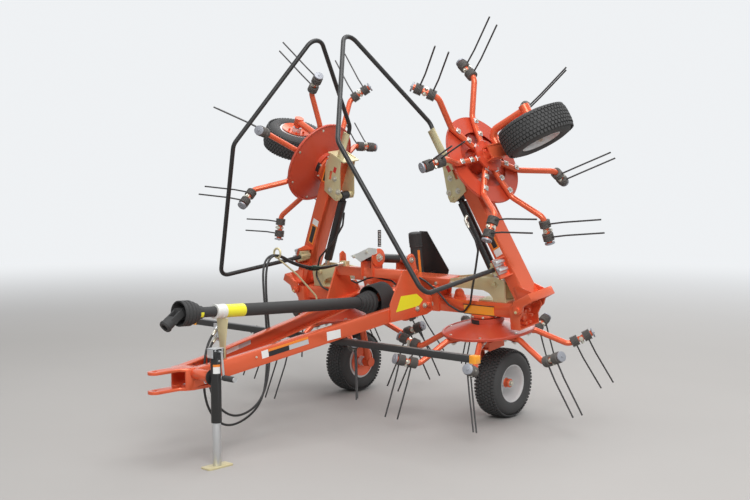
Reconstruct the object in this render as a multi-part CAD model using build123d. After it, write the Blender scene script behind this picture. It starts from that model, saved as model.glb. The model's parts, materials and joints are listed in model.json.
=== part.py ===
from build123d import *
import math
import os

# Trailed hay tedder with four rotors, as it parks: wings folded up, drawbar on its jack.
# Millimetres. X to the machine's left, Y to the rear, Z up. While it is modelled, Y is 0 at
# the inner rotors' axes and Z is 0 on the ground. The beam, its wings and its rotors are
# modelled level, in the working position, and are then folded and tilted forwards.

# Ground wheels
TYRE_RADIUS = 205
TYRE_WIDTH = 165
TYRE_BEAD_RADIUS = 106
RIM_WALL = 4
RIM_GAP = 0.3
WHEEL_TRAIL = 90
WHEEL_OFFSET = 12
AXLE_RADIUS = 14
AXLE_FIT = 0.05
LEG_CLEARANCE = 50
LEG_DROP = 60
LEG_Y = 60
LEG_TUBE_RADIUS = 22
LEG_BEND = 50
CHANNEL_HALF_WIDTH = 34
CHANNEL_WALL = 8
CHANNEL_DEPTH = (-58, 88)

# Beam and wings
TILT = 7.5
TILT_HEIGHT = 500
INNER_ROTOR_X = 605
OUTER_ROTOR_X = 1760
BEAM_BOTTOM = 637
BEAM_TOP = 717
BEAM_HALF_DEPTH = 60
BEAM_WALL = 6
HINGE_X = 905
HINGE_Z = 698
FOLD_ANGLE = 117
HINGE_PIN_RADIUS = 14
HINGE_LUG_RADIUS = 28
HINGE_LUG_THICKNESS = 12
HINGE_LUG_GAP = 5.5
SHROUD_GAP = 8
SHROUD_DEPTH = 48
SHROUD_BOTTOM = 578
SHROUD_WALL = 8
BEAM_SHROUD_HALF_WIDTH = 96
WING_TOP = 722
WING_END_X = 1850
PIN_FIT = 0.05

# Rotors
ARMS = 7
ROTOR_PHASE = 38.5
DISH_RADIUS = 270
DISH_RIM_Z = 530
DISH_THICKNESS = 4
DISH_FLANGE_INNER_RADIUS = 172
COLLAR_RADIUS = 98
COLLAR_BOTTOM = 582
COLLAR_TOP = 616
HUB_BORE_RADIUS = 45
HUB_RADIUS = 60
HUB_FLANGE_RADIUS = 96
HUB_BOTTOM = 484
HUB_FIT = 0.05
ARM_TUBE_RADIUS = 17
ARM_SEAT_GAP = 0.3
ARM_START_RADIUS = 64
ARM_KNEE_RADIUS = 268
ARM_BEND_RADIUS = 458
ARM_BEND_Z = 412
ARM_END_RADIUS = 601
ARM_END_Z = 470
COIL_RADIUS = 32
COIL_LENGTH = 44
COIL_GAP = 34
COIL_END = 14
CAP_RADIUS = 29
CAP_THICKNESS = 8
TINE_RADIUS = 4.75
TINE_LEG = 116
TINE_LONG_DROP = 196
TINE_FLARE = 94
TINE_TRAIL = 27

# Wing fold cylinders
FOLD_PIVOT_X = 710
FOLD_PIVOT_Z = 820
FOLD_EYE_X = 1656
FOLD_EYE_Z = 802
CYLINDER_RADIUS = 27
CYLINDER_ROD_RADIUS = 15
CYLINDER_BACK = 40
CYLINDER_LENGTH = 470
CYLINDER_END_WALL = 12
EYE_RADIUS = 26
EYE_HALF_WIDTH = 30
PIVOT_PIN_RADIUS = 12
PIN_END_GAP = 0.5
OPEN_PIN_GAP = 1.5
PLATE_GAP = 5
FOLD_PLATE_THICKNESS = 10
GOLD_PLATE_THICKNESS = 8
GOLD_END_GAP = 38
TOWER_INNER = 50
TOWER_WALL = 10
TOWER_TOP = 835
TOWER_END_BOTTOM = 785
TOWER_FOOT_X = 300
TOWER_END_X = 386
TOWER_SIDE_X = 270
BRACKET_X = (230, 302)
BRACKET_THICKNESS = 8
BRACKET_BOTTOM = 634

# Guard hoops
HOOP_START = (2062, -34, 738)
HOOP_RADIUS = 13
HOOP_BEND = 70
HOOP_REST = (1150, -792, 668)
HOOP_END = (1165, -112, 700)
HOOP_BRACKET_X = (1100, 1216)
HOOP_BRACKET_Y = -150
HOOP_BRACKET_Z = (672, 684)
HOOP_FIN = 8
CLAMP_FIT = 0.3
CLAMP_Y = (-148, -70)
CLAMP_HALVES = [(1, 40), (-1, 38)]

# Drawbar: each rail section's y, lower edge and upper edge
RAIL_REAR_X = 297
RAIL_REAR_Y = -150
RAIL_FRONT_X = 77
RAIL_FRONT_Y = -1751
RAIL_NOSE_X = 62
RAIL_NOSE_Y = -1790
RAIL_SECTIONS = [
    (RAIL_NOSE_Y, 372, 466),
    (RAIL_FRONT_Y, 376, 470),
    (-1576, 405, 492),
    (RAIL_REAR_Y, 645, 720),
]
BOX_BACK_Y = -1632
TOP_PLATE_BACK_Y = -1690
RAIL_FLANGE = 45
RAIL_WALL = 8
PITCH_PIVOT_Y = -190
PITCH_PIVOT_Z = 676
PITCH_PIN_RADIUS = 15
PITCH_ARM_X = 212
CROSSBAR_Y = -365
CROSSBAR_BOTTOM = 835
CROSSBAR_TOP = 888
CROSSBAR_DEPTH = 50
UPRIGHT_THICKNESS = 10
HITCH_Y = -1936
HITCH_PIN_RADIUS = 14
LUG_THICKNESS = 15
LUG_HALF_WIDTH = 35
LUG_TOP_Z = 466
LUG_BOTTOM_Z = 370

# Tilt cylinder between headstock and beam
TILT_FRONT_Y = -355
TILT_FRONT_Z = 948
TILT_REAR_Y = -48
TILT_REAR_Z = 922
TILT_CYLINDER_RADIUS = 27
TILT_ROD_RADIUS = 12
TILT_LUG_X = 38
TILT_LUG_THICKNESS = 10

# Jack
JACK_X = 243
JACK_Y = -1746
JACK_RADIUS = 26.5
JACK_WALL = 5
JACK_BOTTOM = 223
JACK_BLOCK_BOTTOM = 545
JACK_BLOCK_TOP = 592
JACK_BLOCK_HALF_X = 24
JACK_BLOCK_HALF_Y = 32
JACK_CAP = 12
JACK_INNER_TOP = 440
JACK_LEG_FIT = 0.3
FOOT_LENGTH = 155
FOOT_WIDTH = 72
FOOT_THICKNESS = 8
FOOT_CORNER = 12
JACK_PIVOT_Y = JACK_Y
JACK_STUB_Z = 446
JACK_STUB_RADIUS = 24
JACK_SLEEVE_WALL = 4
JACK_FLANGE_RADIUS = 40
JACK_FLANGE_THICKNESS = 8
CRANK_Z = 578
CRANK_RADIUS = 6
CRANK_THROW = 129
CRANK_LEAN = 12
GRIP_RADIUS = 13
GRIP_LENGTH = 95

# Marker bar
MARKER_HALF_LENGTH = 1140
MARKER_Y = -801
MARKER_SIZE = 36
MARKER_TIP_LENGTH = 42

# Driveline
DRIVE_Z = 735
JOINT_BACK = 370
BELL_FRONT = 340
BELL_RADIUS = 95
NOSE_RADIUS = 40
INPUT_END = 295
DRIVE_FRONT_Y = -1779
DRIVE_FRONT_Z = 747
DRIVE_TUBE_RADIUS = 34
DRIVE_TUBE_START = 84
DRIVE_TUBE_END = 1157
DRIVE_SHAFT_RADIUS = 27
DRIVE_TRAVEL_IN = 80
DRIVE_SHAFT_START = DRIVE_TUBE_START + DRIVE_TRAVEL_IN + 10
CONE_RADIUS = 62
CONE_REAR_RADIUS = 68
CONE_REAR_START = -30
CONE_FRONT_BACK = 136
CONE_RIB_STEP = 24
CONE_FLOOR = 20
CONE_RIBS = 7
YOKE_RADIUS = 20
YOKE_JOINT_BACK = 24
YOKE_HANG = 39
YOKE_HALF_WIDTH = 29
YOKE_HALF_DEPTH = 18
SLEEVE_START = 60
SLEEVE_END = 104
SLEEVE_RADIUS = 31
PTO_BORE_RADIUS = 17.5
PTO_BORE_LENGTH = 60
REST_Y = -1502
REST_THICKNESS = 8
REST_FOOT = 432

# Hydraulic hoses from the crossbar over the hook and down to the couplers at the rest
HOSE_RADIUS = 6.5
HOSE_ONE = [
    (-204, -386, 905), (-207, -505, 893), (-216, -645, 894), (-234, -778, 932), (-248, -880, 988),
    (-250, -945, 970), (-249, -979, 905), (-240, -988, 790), (-222, -990, 630), (-200, -1000, 480),
    (-174, -1026, 352), (-142, -1080, 250), (-110, -1160, 182), (-82, -1265, 148), (-60, -1375, 146),
    (-44, -1470, 190), (-34, -1535, 262), (-30, -1572, 350), (-30, -1576, 440), (-34, -1566, 520),
    (-42, -1541, 567), (-51, -1505, 589)]
HOSE_TWO = [
    (-222, -386, 905), (-224, -500, 884), (-232, -640, 884), (-250, -775, 926), (-264, -880, 988),
    (-268, -950, 972), (-268, -990, 908), (-258, -1004, 795), (-240, -1006, 640), (-218, -1012, 480),
    (-190, -1030, 345), (-155, -1078, 230), (-120, -1160, 155), (-92, -1270, 112), (-66, -1395, 98),
    (-48, -1490, 130), (-36, -1565, 205), (-32, -1602, 300), (-32, -1606, 420), (-35, -1587, 530),
    (-44, -1547, 596), (-51, -1505, 630)]
HOOK_Y = -600
HOOK_RADIUS = 5
HOOK_RING = (-256, -880, 993)
HOOK_RING_RADIUS = 27
HOOK_RING_WIRE = 6
COUPLER_RADIUS = 13
COUPLER_LENGTH = 58

# Sign plate and document tube behind the tower, on the level beam
SIGN_X = 8
SIGN_Y = 188
SIGN_THICKNESS = 4
SIGN_OUTLINE = [(-30, 1068), (30, 1068), (180, 829), (161, 782), (-161, 782), (-180, 829)]
SIGN_ARM_X = 72
DOCUMENT_X = 14
DOCUMENT_RADIUS = 36
DOCUMENT_BOTTOM = 795
DOCUMENT_CAP = 90
DOCUMENT_TOP = 1076
DOCUMENT_CAP_RADIUS = 39

# Seats between pieces of one body
SEAT_GAP = 0.3


def bar(x, y, z):
    """A box between three (low, high) pairs."""
    size = (x[1] - x[0], y[1] - y[0], z[1] - z[0])
    middle = ((x[0] + x[1]) / 2, (y[0] + y[1]) / 2, (z[0] + z[1]) / 2)
    return Pos(*middle) * Box(*size)


def rod(start, end, radius):
    """A round bar from one point to another."""
    axis = Vector(*end) - Vector(*start)
    base = Plane(origin=start, z_dir=axis)
    return extrude(base * Circle(radius), amount=axis.length)


def plate(plane, outline, thickness):
    """A plate that stands up from a plane by its thickness."""
    return extrude(plane * Polygon(*outline, align=None), amount=thickness, dir=plane.z_dir)


def plate_x(outline, x_low, x_high):
    """A plate whose (y, z) outline runs from x_low to x_high."""
    return plate(Plane(origin=(x_low, 0, 0), x_dir=(0, 1, 0), z_dir=(1, 0, 0)), outline, x_high - x_low)


def plate_y(outline, y_low, y_high):
    """A plate whose (x, z) outline runs from y_low to y_high."""
    return plate(Plane(origin=(0, y_high, 0), x_dir=(1, 0, 0), z_dir=(0, -1, 0)), outline, y_high - y_low)


def plate_z(outline, z_low, z_high):
    """A plate whose (x, y) outline runs from z_low to z_high."""
    return plate(Plane(origin=(0, 0, z_low)), outline, z_high - z_low)


def spun(profile, about=Axis.Z):
    """A round piece from its (radius, height) half section, about Z or along X."""
    section = Plane.XZ * Polygon(*profile, align=None)
    piece = revolve(section, Axis.Z)
    return piece if about == Axis.Z else piece.rotate(Axis.Y, 90)


def lug_x(eye, foot_half_width, foot_z, radius, x_low, x_high):
    """A lug that stands up from foot_z to a round top about the (y, z) eye."""
    y, z = eye
    left = [(y - foot_half_width, foot_z), (y - radius, z)]
    right = [(y + radius, z), (y + foot_half_width, foot_z)]
    body = plate_x(left + right, x_low, x_high)
    return body + rod((x_low, y, z), (x_high, y, z), radius)


def fused(*pieces):
    """One solid from pieces that meet."""
    whole = pieces[0]
    for piece in pieces[1:]:
        whole = whole + piece
    return whole


def side_of(piece, side):
    """The piece as it is on the left (1), or mirrored to the right (-1)."""
    return piece if side == 1 else piece.mirror(Plane.YZ)


def tilted(piece):
    """A level piece of the beam, leaned forwards as it stands."""
    return piece.rotate(Axis((0, 0, TILT_HEIGHT), (1, 0, 0)), TILT)


def folded(piece, side):
    """A level wing piece, folded up about its hinge and leaned forwards."""
    hinge = Axis((side * HINGE_X, 0, HINGE_Z), (0, 1, 0))
    return tilted(piece.rotate(hinge, -side * FOLD_ANGLE))


def tilt_point(x, y, z):
    """A point of the level beam, where it stands."""
    c, s = math.cos(math.radians(TILT)), math.sin(math.radians(TILT))
    rise = z - TILT_HEIGHT
    return (x, y * c - rise * s, TILT_HEIGHT + y * s + rise * c)


def fold_point(x, y, z, side):
    """A point of the level wing, where it stands folded."""
    c, s = math.cos(math.radians(FOLD_ANGLE)), math.sin(math.radians(FOLD_ANGLE))
    out, rise = x - HINGE_X, z - HINGE_Z
    return tilt_point(side * (HINGE_X + out * c - rise * s), y, HINGE_Z + out * s + rise * c)


def wheel_height():
    """The wheel centre's height on the level beam, so that the tyre stands on the ground."""
    c, s = math.cos(math.radians(TILT)), math.sin(math.radians(TILT))
    return TILT_HEIGHT + (TYRE_RADIUS - TILT_HEIGHT - WHEEL_TRAIL * s) / c


WHEEL_Z = wheel_height()


# Wheels, modelled at the wheel's centre with the axle along X and the open rim towards +X
def tyre():
    half = TYRE_WIDTH / 2
    bead = TYRE_BEAD_RADIUS + RIM_GAP
    profile = [
        (bead, -half + 28), (bead + 7, -half + 14), (TYRE_RADIUS - 55, -half),
        (TYRE_RADIUS - 24, -half + 4), (TYRE_RADIUS - 5, -half + 22), (TYRE_RADIUS, -half + 48),
        (TYRE_RADIUS, half - 48), (TYRE_RADIUS - 5, half - 22), (TYRE_RADIUS - 24, half - 4),
        (TYRE_RADIUS - 55, half), (bead + 7, half - 14), (bead, half - 28),
    ]
    return spun(profile, Axis.X)


def rim():
    half = TYRE_WIDTH / 2
    r = TYRE_BEAD_RADIUS
    hub, bore = 30, AXLE_RADIUS + AXLE_FIT
    profile = [
        (bore, -half - 6), (hub, -half - 6), (hub, -half + 20), (r - 30, -half + 20),
        (r - 24, -half + 14), (r + 6, -half + 14), (r, -half + 27), (r, half - 27),
        (r + 6, half - 14), (r + 6 - RIM_WALL, half - 14), (r - RIM_WALL, half - 30),
        (r - RIM_WALL, -half + 30), (hub, -half + 30), (hub, half - 62), (bore, half - 62),
    ]
    return spun(profile, Axis.X)


# Rotor dish with its hub, modelled about its axis at the level beam's height
def dish():
    top = COLLAR_TOP
    t = DISH_THICKNESS
    rim_z = DISH_RIM_Z
    profile = [
        (HUB_BORE_RADIUS, HUB_BOTTOM), (HUB_FLANGE_RADIUS, HUB_BOTTOM),
        (HUB_FLANGE_RADIUS, arm_axis_z() - ARM_TUBE_RADIUS - ARM_SEAT_GAP),
        (HUB_RADIUS, arm_axis_z() - ARM_TUBE_RADIUS - ARM_SEAT_GAP),
        (HUB_RADIUS, top - 8), (COLLAR_RADIUS - t, top - 8), (COLLAR_RADIUS - t, COLLAR_BOTTOM),
        (DISH_RADIUS - 16, rim_z + t), (DISH_FLANGE_INNER_RADIUS, rim_z + t),
        (DISH_FLANGE_INNER_RADIUS, rim_z), (DISH_RADIUS, rim_z), (DISH_RADIUS, rim_z + 2 * t),
        (COLLAR_RADIUS, COLLAR_BOTTOM + t), (COLLAR_RADIUS, top), (HUB_BORE_RADIUS, top),
    ]
    return spun(profile)


def arm_axis_z():
    """Height of the arms' straight inner run, hung under the dish's flange."""
    return DISH_RIM_Z - ARM_SEAT_GAP - ARM_TUBE_RADIUS


def arm(spin):
    """One tine arm along +X: bent tube, two tine coils and end cap. spin is 1 or -1."""
    z = arm_axis_z()
    tube_section = Plane.YZ.offset(ARM_START_RADIUS) * Pos(0, z) * RegularPolygon(
        ARM_TUBE_RADIUS, 6, major_radius=False)
    path = Polyline(
        (ARM_START_RADIUS, 0, z), (ARM_KNEE_RADIUS, 0, z), (ARM_BEND_RADIUS, 0, ARM_BEND_Z),
        (ARM_END_RADIUS, 0, ARM_END_Z))
    tube = sweep(tube_section, path=path, transition=Transition.RIGHT)
    run = Vector(ARM_END_RADIUS - ARM_BEND_RADIUS, 0, ARM_END_Z - ARM_BEND_Z).normalized()
    end = Vector(ARM_END_RADIUS, 0, ARM_END_Z)
    pieces = [tube]
    coil_starts = [COIL_END + COIL_LENGTH, COIL_END + 2 * COIL_LENGTH + COIL_GAP]
    for back in coil_starts:
        base = end - run * back
        section = Plane(origin=base, x_dir=(0, 1, 0), z_dir=run) * RegularPolygon(
            COIL_RADIUS, 8, major_radius=False)
        pieces.append(extrude(section, amount=COIL_LENGTH))
        pieces.append(tine(base + run * (COIL_LENGTH / 2), run, spin))
    cap_section = Plane(origin=end, x_dir=(0, 1, 0), z_dir=run) * RegularPolygon(
        CAP_RADIUS, 8, major_radius=False)
    pieces.append(extrude(cap_section, amount=CAP_THICKNESS))
    return fused(*pieces)


def tine(centre, run, spin):
    """A spring tine below its coil: a short leg, a kink, and a long leg that flares out."""
    hang = Vector(run.Z, 0, -run.X)
    start = centre + hang * (COIL_RADIUS - TINE_RADIUS)
    kink = centre + hang * TINE_LEG
    tip = kink + Vector(TINE_FLARE, spin * TINE_TRAIL, -TINE_LONG_DROP)
    section = Plane(origin=start, x_dir=(0, 1, 0), z_dir=kink - start) * RegularPolygon(
        TINE_RADIUS, 6, major_radius=False)
    return sweep(section, path=Polyline(start, kink, tip), transition=Transition.RIGHT)


def arms(phase, spin):
    """The seven arms of one rotor, as separate solids about its axis."""
    one = arm(spin)
    return Compound([one.rotate(Axis.Z, phase + k * 360 / ARMS) for k in range(ARMS)])


# Wheel leg under a rotor, modelled about the rotor's axis with the wheel's open side at +X
def wheel_leg():
    """Clamp channel under the rotor, the bent tube that goes behind the tyre, and the axle."""
    leg_x = WHEEL_OFFSET - TYRE_WIDTH / 2 - LEG_CLEARANCE
    top_z = HUB_BOTTOM - LEG_DROP
    tube_z = top_z + LEG_TUBE_RADIUS
    cheek = CHANNEL_HALF_WIDTH
    post = rod((0, 0, top_z), (0, 0, HUB_BOTTOM - 6), 40)
    channel = bar((-cheek, cheek), CHANNEL_DEPTH, (top_z, top_z + CHANNEL_WALL))
    cheeks = [bar((x, x + CHANNEL_WALL), CHANNEL_DEPTH, (top_z - 4, top_z + 44))
              for x in (-cheek - CHANNEL_WALL, cheek)]
    points = [(cheek + 4, LEG_Y, tube_z), (leg_x, LEG_Y, tube_z), (leg_x, WHEEL_TRAIL, WHEEL_Z)]
    path = FilletPolyline(*points, radius=LEG_BEND)
    start = Plane(origin=points[0], z_dir=(-1, 0, 0))
    leg = sweep(start * Circle(LEG_TUBE_RADIUS), path=path)
    hub = rod((leg_x - LEG_TUBE_RADIUS - 4, WHEEL_TRAIL, WHEEL_Z), (leg_x + 30, WHEEL_TRAIL, WHEEL_Z), 30)
    axle_end = WHEEL_OFFSET + TYRE_WIDTH / 2 - 66
    axle = rod((leg_x, WHEEL_TRAIL, WHEEL_Z), (axle_end, WHEEL_TRAIL, WHEEL_Z), AXLE_RADIUS)
    return fused(post, channel, *cheeks, leg, hub, axle)


def rotor_gearbox():
    """Housing under the beam with the fixed post that the rotor turns on."""
    body = rod((0, 0, COLLAR_TOP + 6), (0, 0, BEAM_BOTTOM), 92)
    post = rod((0, 0, HUB_BOTTOM - 6), (0, 0, COLLAR_TOP + 6), HUB_BORE_RADIUS - HUB_FIT)
    return body + post


# Beam, level, both halves
def beam():
    tube = bar((-HINGE_X + 60, HINGE_X - 60), (-BEAM_HALF_DEPTH, BEAM_HALF_DEPTH), (BEAM_BOTTOM, BEAM_TOP))
    inside = bar(
        (-HINGE_X + 60 - 1, HINGE_X - 60 + 1),
        (-BEAM_HALF_DEPTH + BEAM_WALL, BEAM_HALF_DEPTH - BEAM_WALL),
        (BEAM_BOTTOM + BEAM_WALL, BEAM_TOP - BEAM_WALL))
    pieces = [tube - inside]
    for side in (1, -1):
        pieces.append(side_of(beam_end(), side))
        pieces.append(Pos(side * INNER_ROTOR_X, 0, 0) * rotor_gearbox())
        pieces.append(side_of(beam_lug(), side))
    return fused(*pieces)


def beam_lug():
    """Rounded lug that stands on the beam beside the tower."""
    x, z, r = 432, BEAM_TOP + 26, 32
    web = plate_y([(x - 46, BEAM_TOP - 1), (x + 46, BEAM_TOP - 1), (x + r, z), (x - r, z)], -30, -18)
    return web + rod((x, -30, z), (x, -18, z), r) + rod((x, -38, z), (x, -10, z), 12)


def beam_end():
    """The beam's end shroud with its hinge lugs and the driving half of the finger clutch."""
    face = HINGE_X - SHROUD_GAP / 2
    back = face - SHROUD_DEPTH
    w = BEAM_SHROUD_HALF_WIDTH
    shell = bar((back, face), (-w, w), (SHROUD_BOTTOM, BEAM_TOP - 22))
    hollow = bar(
        (back + SHROUD_WALL, face + 1), (-w + SHROUD_WALL, w - SHROUD_WALL),
        (SHROUD_BOTTOM + SHROUD_WALL, BEAM_TOP))
    back_plate = bar((HINGE_X - 66, back + SHROUD_WALL), (-w, w), (SHROUD_BOTTOM, BEAM_TOP))
    pieces = [shell - hollow, back_plate]
    for y in (-w, w - HINGE_LUG_THICKNESS):
        lug = plate_y(
            [(back, SHROUD_BOTTOM + 60), (face, SHROUD_BOTTOM + 60), (HINGE_X + 20, HINGE_Z - 20),
             (HINGE_X + 26, HINGE_Z), (HINGE_X + 18, HINGE_Z + 20), (HINGE_X - 4, HINGE_Z + 27),
             (back, BEAM_TOP)],
            y, y + HINGE_LUG_THICKNESS)
        pieces.append(lug)
    centre_z = (SHROUD_BOTTOM + HINGE_Z) / 2
    pieces.append(rod((back, 0, centre_z), (back + 22, 0, centre_z), 30))
    for k in range(6):
        a = math.radians(60 * k)
        y, z = 40 * math.cos(a), centre_z + 40 * math.sin(a)
        pieces.append(rod((back, y, z), (face - 4, y, z), 9))
    hole = rod((HINGE_X, -w - 1, HINGE_Z), (HINGE_X, w + 1, HINGE_Z), HINGE_PIN_RADIUS + PIN_FIT)
    return fused(*pieces) - hole


def wing():
    """Left wing, level: end shroud with lugs and pins, box section, outer gearbox."""
    face = HINGE_X + SHROUD_GAP / 2
    back = face + SHROUD_DEPTH
    w = BEAM_SHROUD_HALF_WIDTH + HINGE_LUG_GAP + HINGE_LUG_THICKNESS
    shell = bar((face, back), (-w, w), (SHROUD_BOTTOM, HINGE_Z))
    hollow = bar(
        (face - 1, back - SHROUD_WALL), (-w + SHROUD_WALL, w - SHROUD_WALL),
        (SHROUD_BOTTOM + SHROUD_WALL, HINGE_Z - SHROUD_WALL))
    tube = bar((back - SHROUD_WALL, WING_END_X), (-BEAM_HALF_DEPTH, BEAM_HALF_DEPTH), (BEAM_BOTTOM, WING_TOP))
    inside = bar(
        (back, WING_END_X + 1), (-BEAM_HALF_DEPTH + BEAM_WALL, BEAM_HALF_DEPTH - BEAM_WALL),
        (BEAM_BOTTOM + BEAM_WALL, WING_TOP - BEAM_WALL))
    shell -= hollow
    for turn in (1, -1):
        behind = BEAM_SHROUD_HALF_WIDTH - HINGE_LUG_THICKNESS - HINGE_LUG_GAP
        low, high = sorted((turn * behind, turn * (w - HINGE_LUG_THICKNESS)))
        shell -= bar((face - 1, HINGE_X + HINGE_LUG_RADIUS + 8), (low, high), (HINGE_Z - 60, HINGE_Z + 1))
    pieces = [shell, tube - inside]
    for y in (-w, w - HINGE_LUG_THICKNESS):
        pieces.append(plate_y(
            [(face - 24, HINGE_Z - 22), (face + 10, SHROUD_BOTTOM + 60), (back, SHROUD_BOTTOM + 60),
             (back, HINGE_Z), (HINGE_X + 12, HINGE_Z + 25), (HINGE_X - 14, HINGE_Z + 24),
             (HINGE_X - 28, HINGE_Z + 6)],
            y, y + HINGE_LUG_THICKNESS))
    inner = BEAM_SHROUD_HALF_WIDTH - HINGE_LUG_THICKNESS - 4
    for turn in (1, -1):
        pin_end = (HINGE_X, turn * (w + 4), HINGE_Z)
        pieces.append(rod((HINGE_X, turn * inner, HINGE_Z), pin_end, HINGE_PIN_RADIUS))
        pieces.append(rod((HINGE_X, turn * w, HINGE_Z), (HINGE_X, turn * (w + 12), HINGE_Z), 19))
    rib_x = back + 75
    for y in (-BEAM_HALF_DEPTH - 6, BEAM_HALF_DEPTH):
        pieces.append(plate_y(
            [(back - 2, SHROUD_BOTTOM + 8), (rib_x, BEAM_BOTTOM + 20), (rib_x, HINGE_Z - 10),
             (back - 2, HINGE_Z)],
            y, y + 6))
    centre_z = (SHROUD_BOTTOM + HINGE_Z) / 2
    pieces.append(rod((back - 26, 0, centre_z), (back, 0, centre_z), 30))
    for k in range(6):
        a = math.radians(60 * k + 30)
        y, z = 40 * math.cos(a), centre_z + 40 * math.sin(a)
        pieces.append(rod((face + 4, y, z), (back, y, z), 9))
    pieces.append(Pos(OUTER_ROTOR_X, 0, 0) * rotor_gearbox())
    pieces += hoop_bracket()
    return fused(*pieces)


def hoop_bracket():
    """Shelf with a fin at each end on the wing's front, which the hoop's inner end is clamped to."""
    start, end = HOOP_BRACKET_X
    low, high = HOOP_BRACKET_Z
    front, back = HOOP_BRACKET_Y, 1 - BEAM_HALF_DEPTH
    pieces = [bar((start, end), (front, back), (low, high))]
    fin = [(back, BEAM_BOTTOM + 14), (back, WING_TOP - 6), (front, high + 4), (front, low)]
    for x in (start, end - HOOP_FIN):
        pieces.append(plate_x(fin, x, x + HOOP_FIN))
    return pieces


def hoop_clamp():
    """The two half shells that grip the hoop's inner end on its shelf, level."""
    tube = rod(HOOP_REST, HOOP_END, HOOP_RADIUS + CLAMP_FIT)
    x = HOOP_END[0]
    seat = HOOP_BRACKET_Z[1] + SEAT_GAP
    shells = []
    for turn, reach in CLAMP_HALVES:
        profile = [(2, seat), (reach, seat), (reach, seat + 18), (reach - 18, seat + 20), (18, seat + 34),
                   (2, seat + 36)]
        shells.append(plate_y([(x + turn * out, z) for out, z in profile], *CLAMP_Y) - tube)
    return shells


def gold_plates():
    """The pair of plates at the wing's outer end that hold the cylinder's barrel and the hoop."""
    t = GOLD_PLATE_THICKNESS
    eye_gap = EYE_HALF_WIDTH + PLATE_GAP
    face = BEAM_HALF_DEPTH + SEAT_GAP
    outline = [
        (FOLD_EYE_X - 30, FOLD_EYE_Z), (FOLD_EYE_X - 14, FOLD_EYE_Z + 26), (FOLD_EYE_X + 16, FOLD_EYE_Z + 26),
        (WING_END_X - 20, 770), (WING_END_X + 50, 760), (WING_END_X + 50, 660), (WING_END_X - 50, 650),
        (FOLD_EYE_X - 10, 690)]
    slot = [(1730, 700), (1790, 694), (1796, 716), (1736, 722)]
    pin_end = face + t + 8
    end = WING_END_X + GOLD_END_GAP
    pieces = [bar((end, end + t), (-face - t, face + t), (640, 790))]
    near, far = (FOLD_EYE_X, -pin_end, FOLD_EYE_Z), (FOLD_EYE_X, pin_end, FOLD_EYE_Z)
    pieces.append(rod(near, far, PIVOT_PIN_RADIUS))
    for turn in (1, -1):
        low, high = sorted((turn * face, turn * (face + t)))
        pieces.append(plate_y(outline, low, high) - plate_y(slot, low - 1, high + 1))
        inner, outer = sorted((turn * eye_gap, turn * face))
        pieces.append(rod((FOLD_EYE_X, inner, FOLD_EYE_Z), (FOLD_EYE_X, outer, FOLD_EYE_Z), 20))
    hoop_side = HOOP_START[1] - HOOP_RADIUS - SEAT_GAP
    pieces.append(bar((end + t / 2, 2070), (hoop_side - t, hoop_side), (712, 762)))
    return Compound([fused(*pieces), *hoop_clamp()])


def hoop():
    """Guard tube round the front of the left outer rotor, level."""
    points = [HOOP_START, (2112, -34, 734), (2730, -447, 668), (2060, -905, 655), HOOP_REST, HOOP_END]
    path = FilletPolyline(*points, radius=HOOP_BEND)
    start = Plane(origin=points[0], z_dir=Vector(*points[1]) - Vector(*points[0]))
    return sweep(start * Circle(HOOP_RADIUS), path=path)


def fold_plates():
    """Olive plates from the tower to the left half of the beam, with the heads of the cylinder's pin."""
    t = FOLD_PLATE_THICKNESS
    face = TOWER_INNER - SEAT_GAP
    seat = BEAM_TOP + SEAT_GAP
    start = TOWER_END_X - 60
    roof = TOWER_TOP - TOWER_WALL - SEAT_GAP
    outline = [
        (start, roof), (TOWER_END_X + 2, roof), (TOWER_END_X + 2, TOWER_TOP + 2), (550, 857),
        (FOLD_PIVOT_X, 862), (758, 856), (782, 838), (778, seat), (695, seat), (690, 746), (668, 768),
        (629, 782), (540, TOWER_END_BOTTOM), (start, TOWER_END_BOTTOM)]
    pieces = []
    for turn in (1, -1):
        low, high = sorted((turn * (face - t), turn * face))
        pieces.append(plate_y(outline, low, high))
        root = (FOLD_PIVOT_X, turn * face, FOLD_PIVOT_Z)
        end = (FOLD_PIVOT_X, turn * (face + 14), FOLD_PIVOT_Z)
        pieces.append(rod(root, end, 18))
    pieces.append(bar((590, 786), (1 - face, face - 1), (seat, seat + 8)))
    return fused(*pieces)


def fold_cylinder():
    """Barrel and rod of the left fold cylinder, on the level beam with the wing folded."""
    c, s = math.cos(math.radians(FOLD_ANGLE)), math.sin(math.radians(FOLD_ANGLE))
    out, rise = FOLD_EYE_X - HINGE_X, FOLD_EYE_Z - HINGE_Z
    eye = Vector(HINGE_X + out * c - rise * s, 0, HINGE_Z + out * s + rise * c)
    foot = Vector(FOLD_PIVOT_X, 0, FOLD_PIVOT_Z)
    along = (foot - eye).normalized()
    half = Vector(0, EYE_HALF_WIDTH, 0)
    back, mouth = eye + along * CYLINDER_BACK, eye + along * CYLINDER_LENGTH
    top_eye = rod(eye - half, eye + half, EYE_RADIUS)
    neck = rod(eye + along * (EYE_RADIUS - 4), back + along, 18)
    tube = rod(back, mouth, CYLINDER_RADIUS)
    bore = rod(back + along * CYLINDER_END_WALL, mouth + along, CYLINDER_ROD_RADIUS + PIN_FIT)
    pin_hole = rod(eye - half * 2, eye + half * 2, PIVOT_PIN_RADIUS + PIN_FIT)
    barrel = fused(top_eye, neck, tube) - bore - pin_hole
    shaft = rod(back + along * (CYLINDER_END_WALL + 4), foot - along * (EYE_RADIUS - 4), CYLINDER_ROD_RADIUS)
    foot_eye = rod(foot - half, foot + half, EYE_RADIUS)
    stub_end = Vector(0, TOWER_INNER - SEAT_GAP - FOLD_PLATE_THICKNESS - PIN_END_GAP, 0)
    return barrel, fused(shaft, foot_eye, rod(foot - stub_end, foot + stub_end, PIVOT_PIN_RADIUS))


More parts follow.
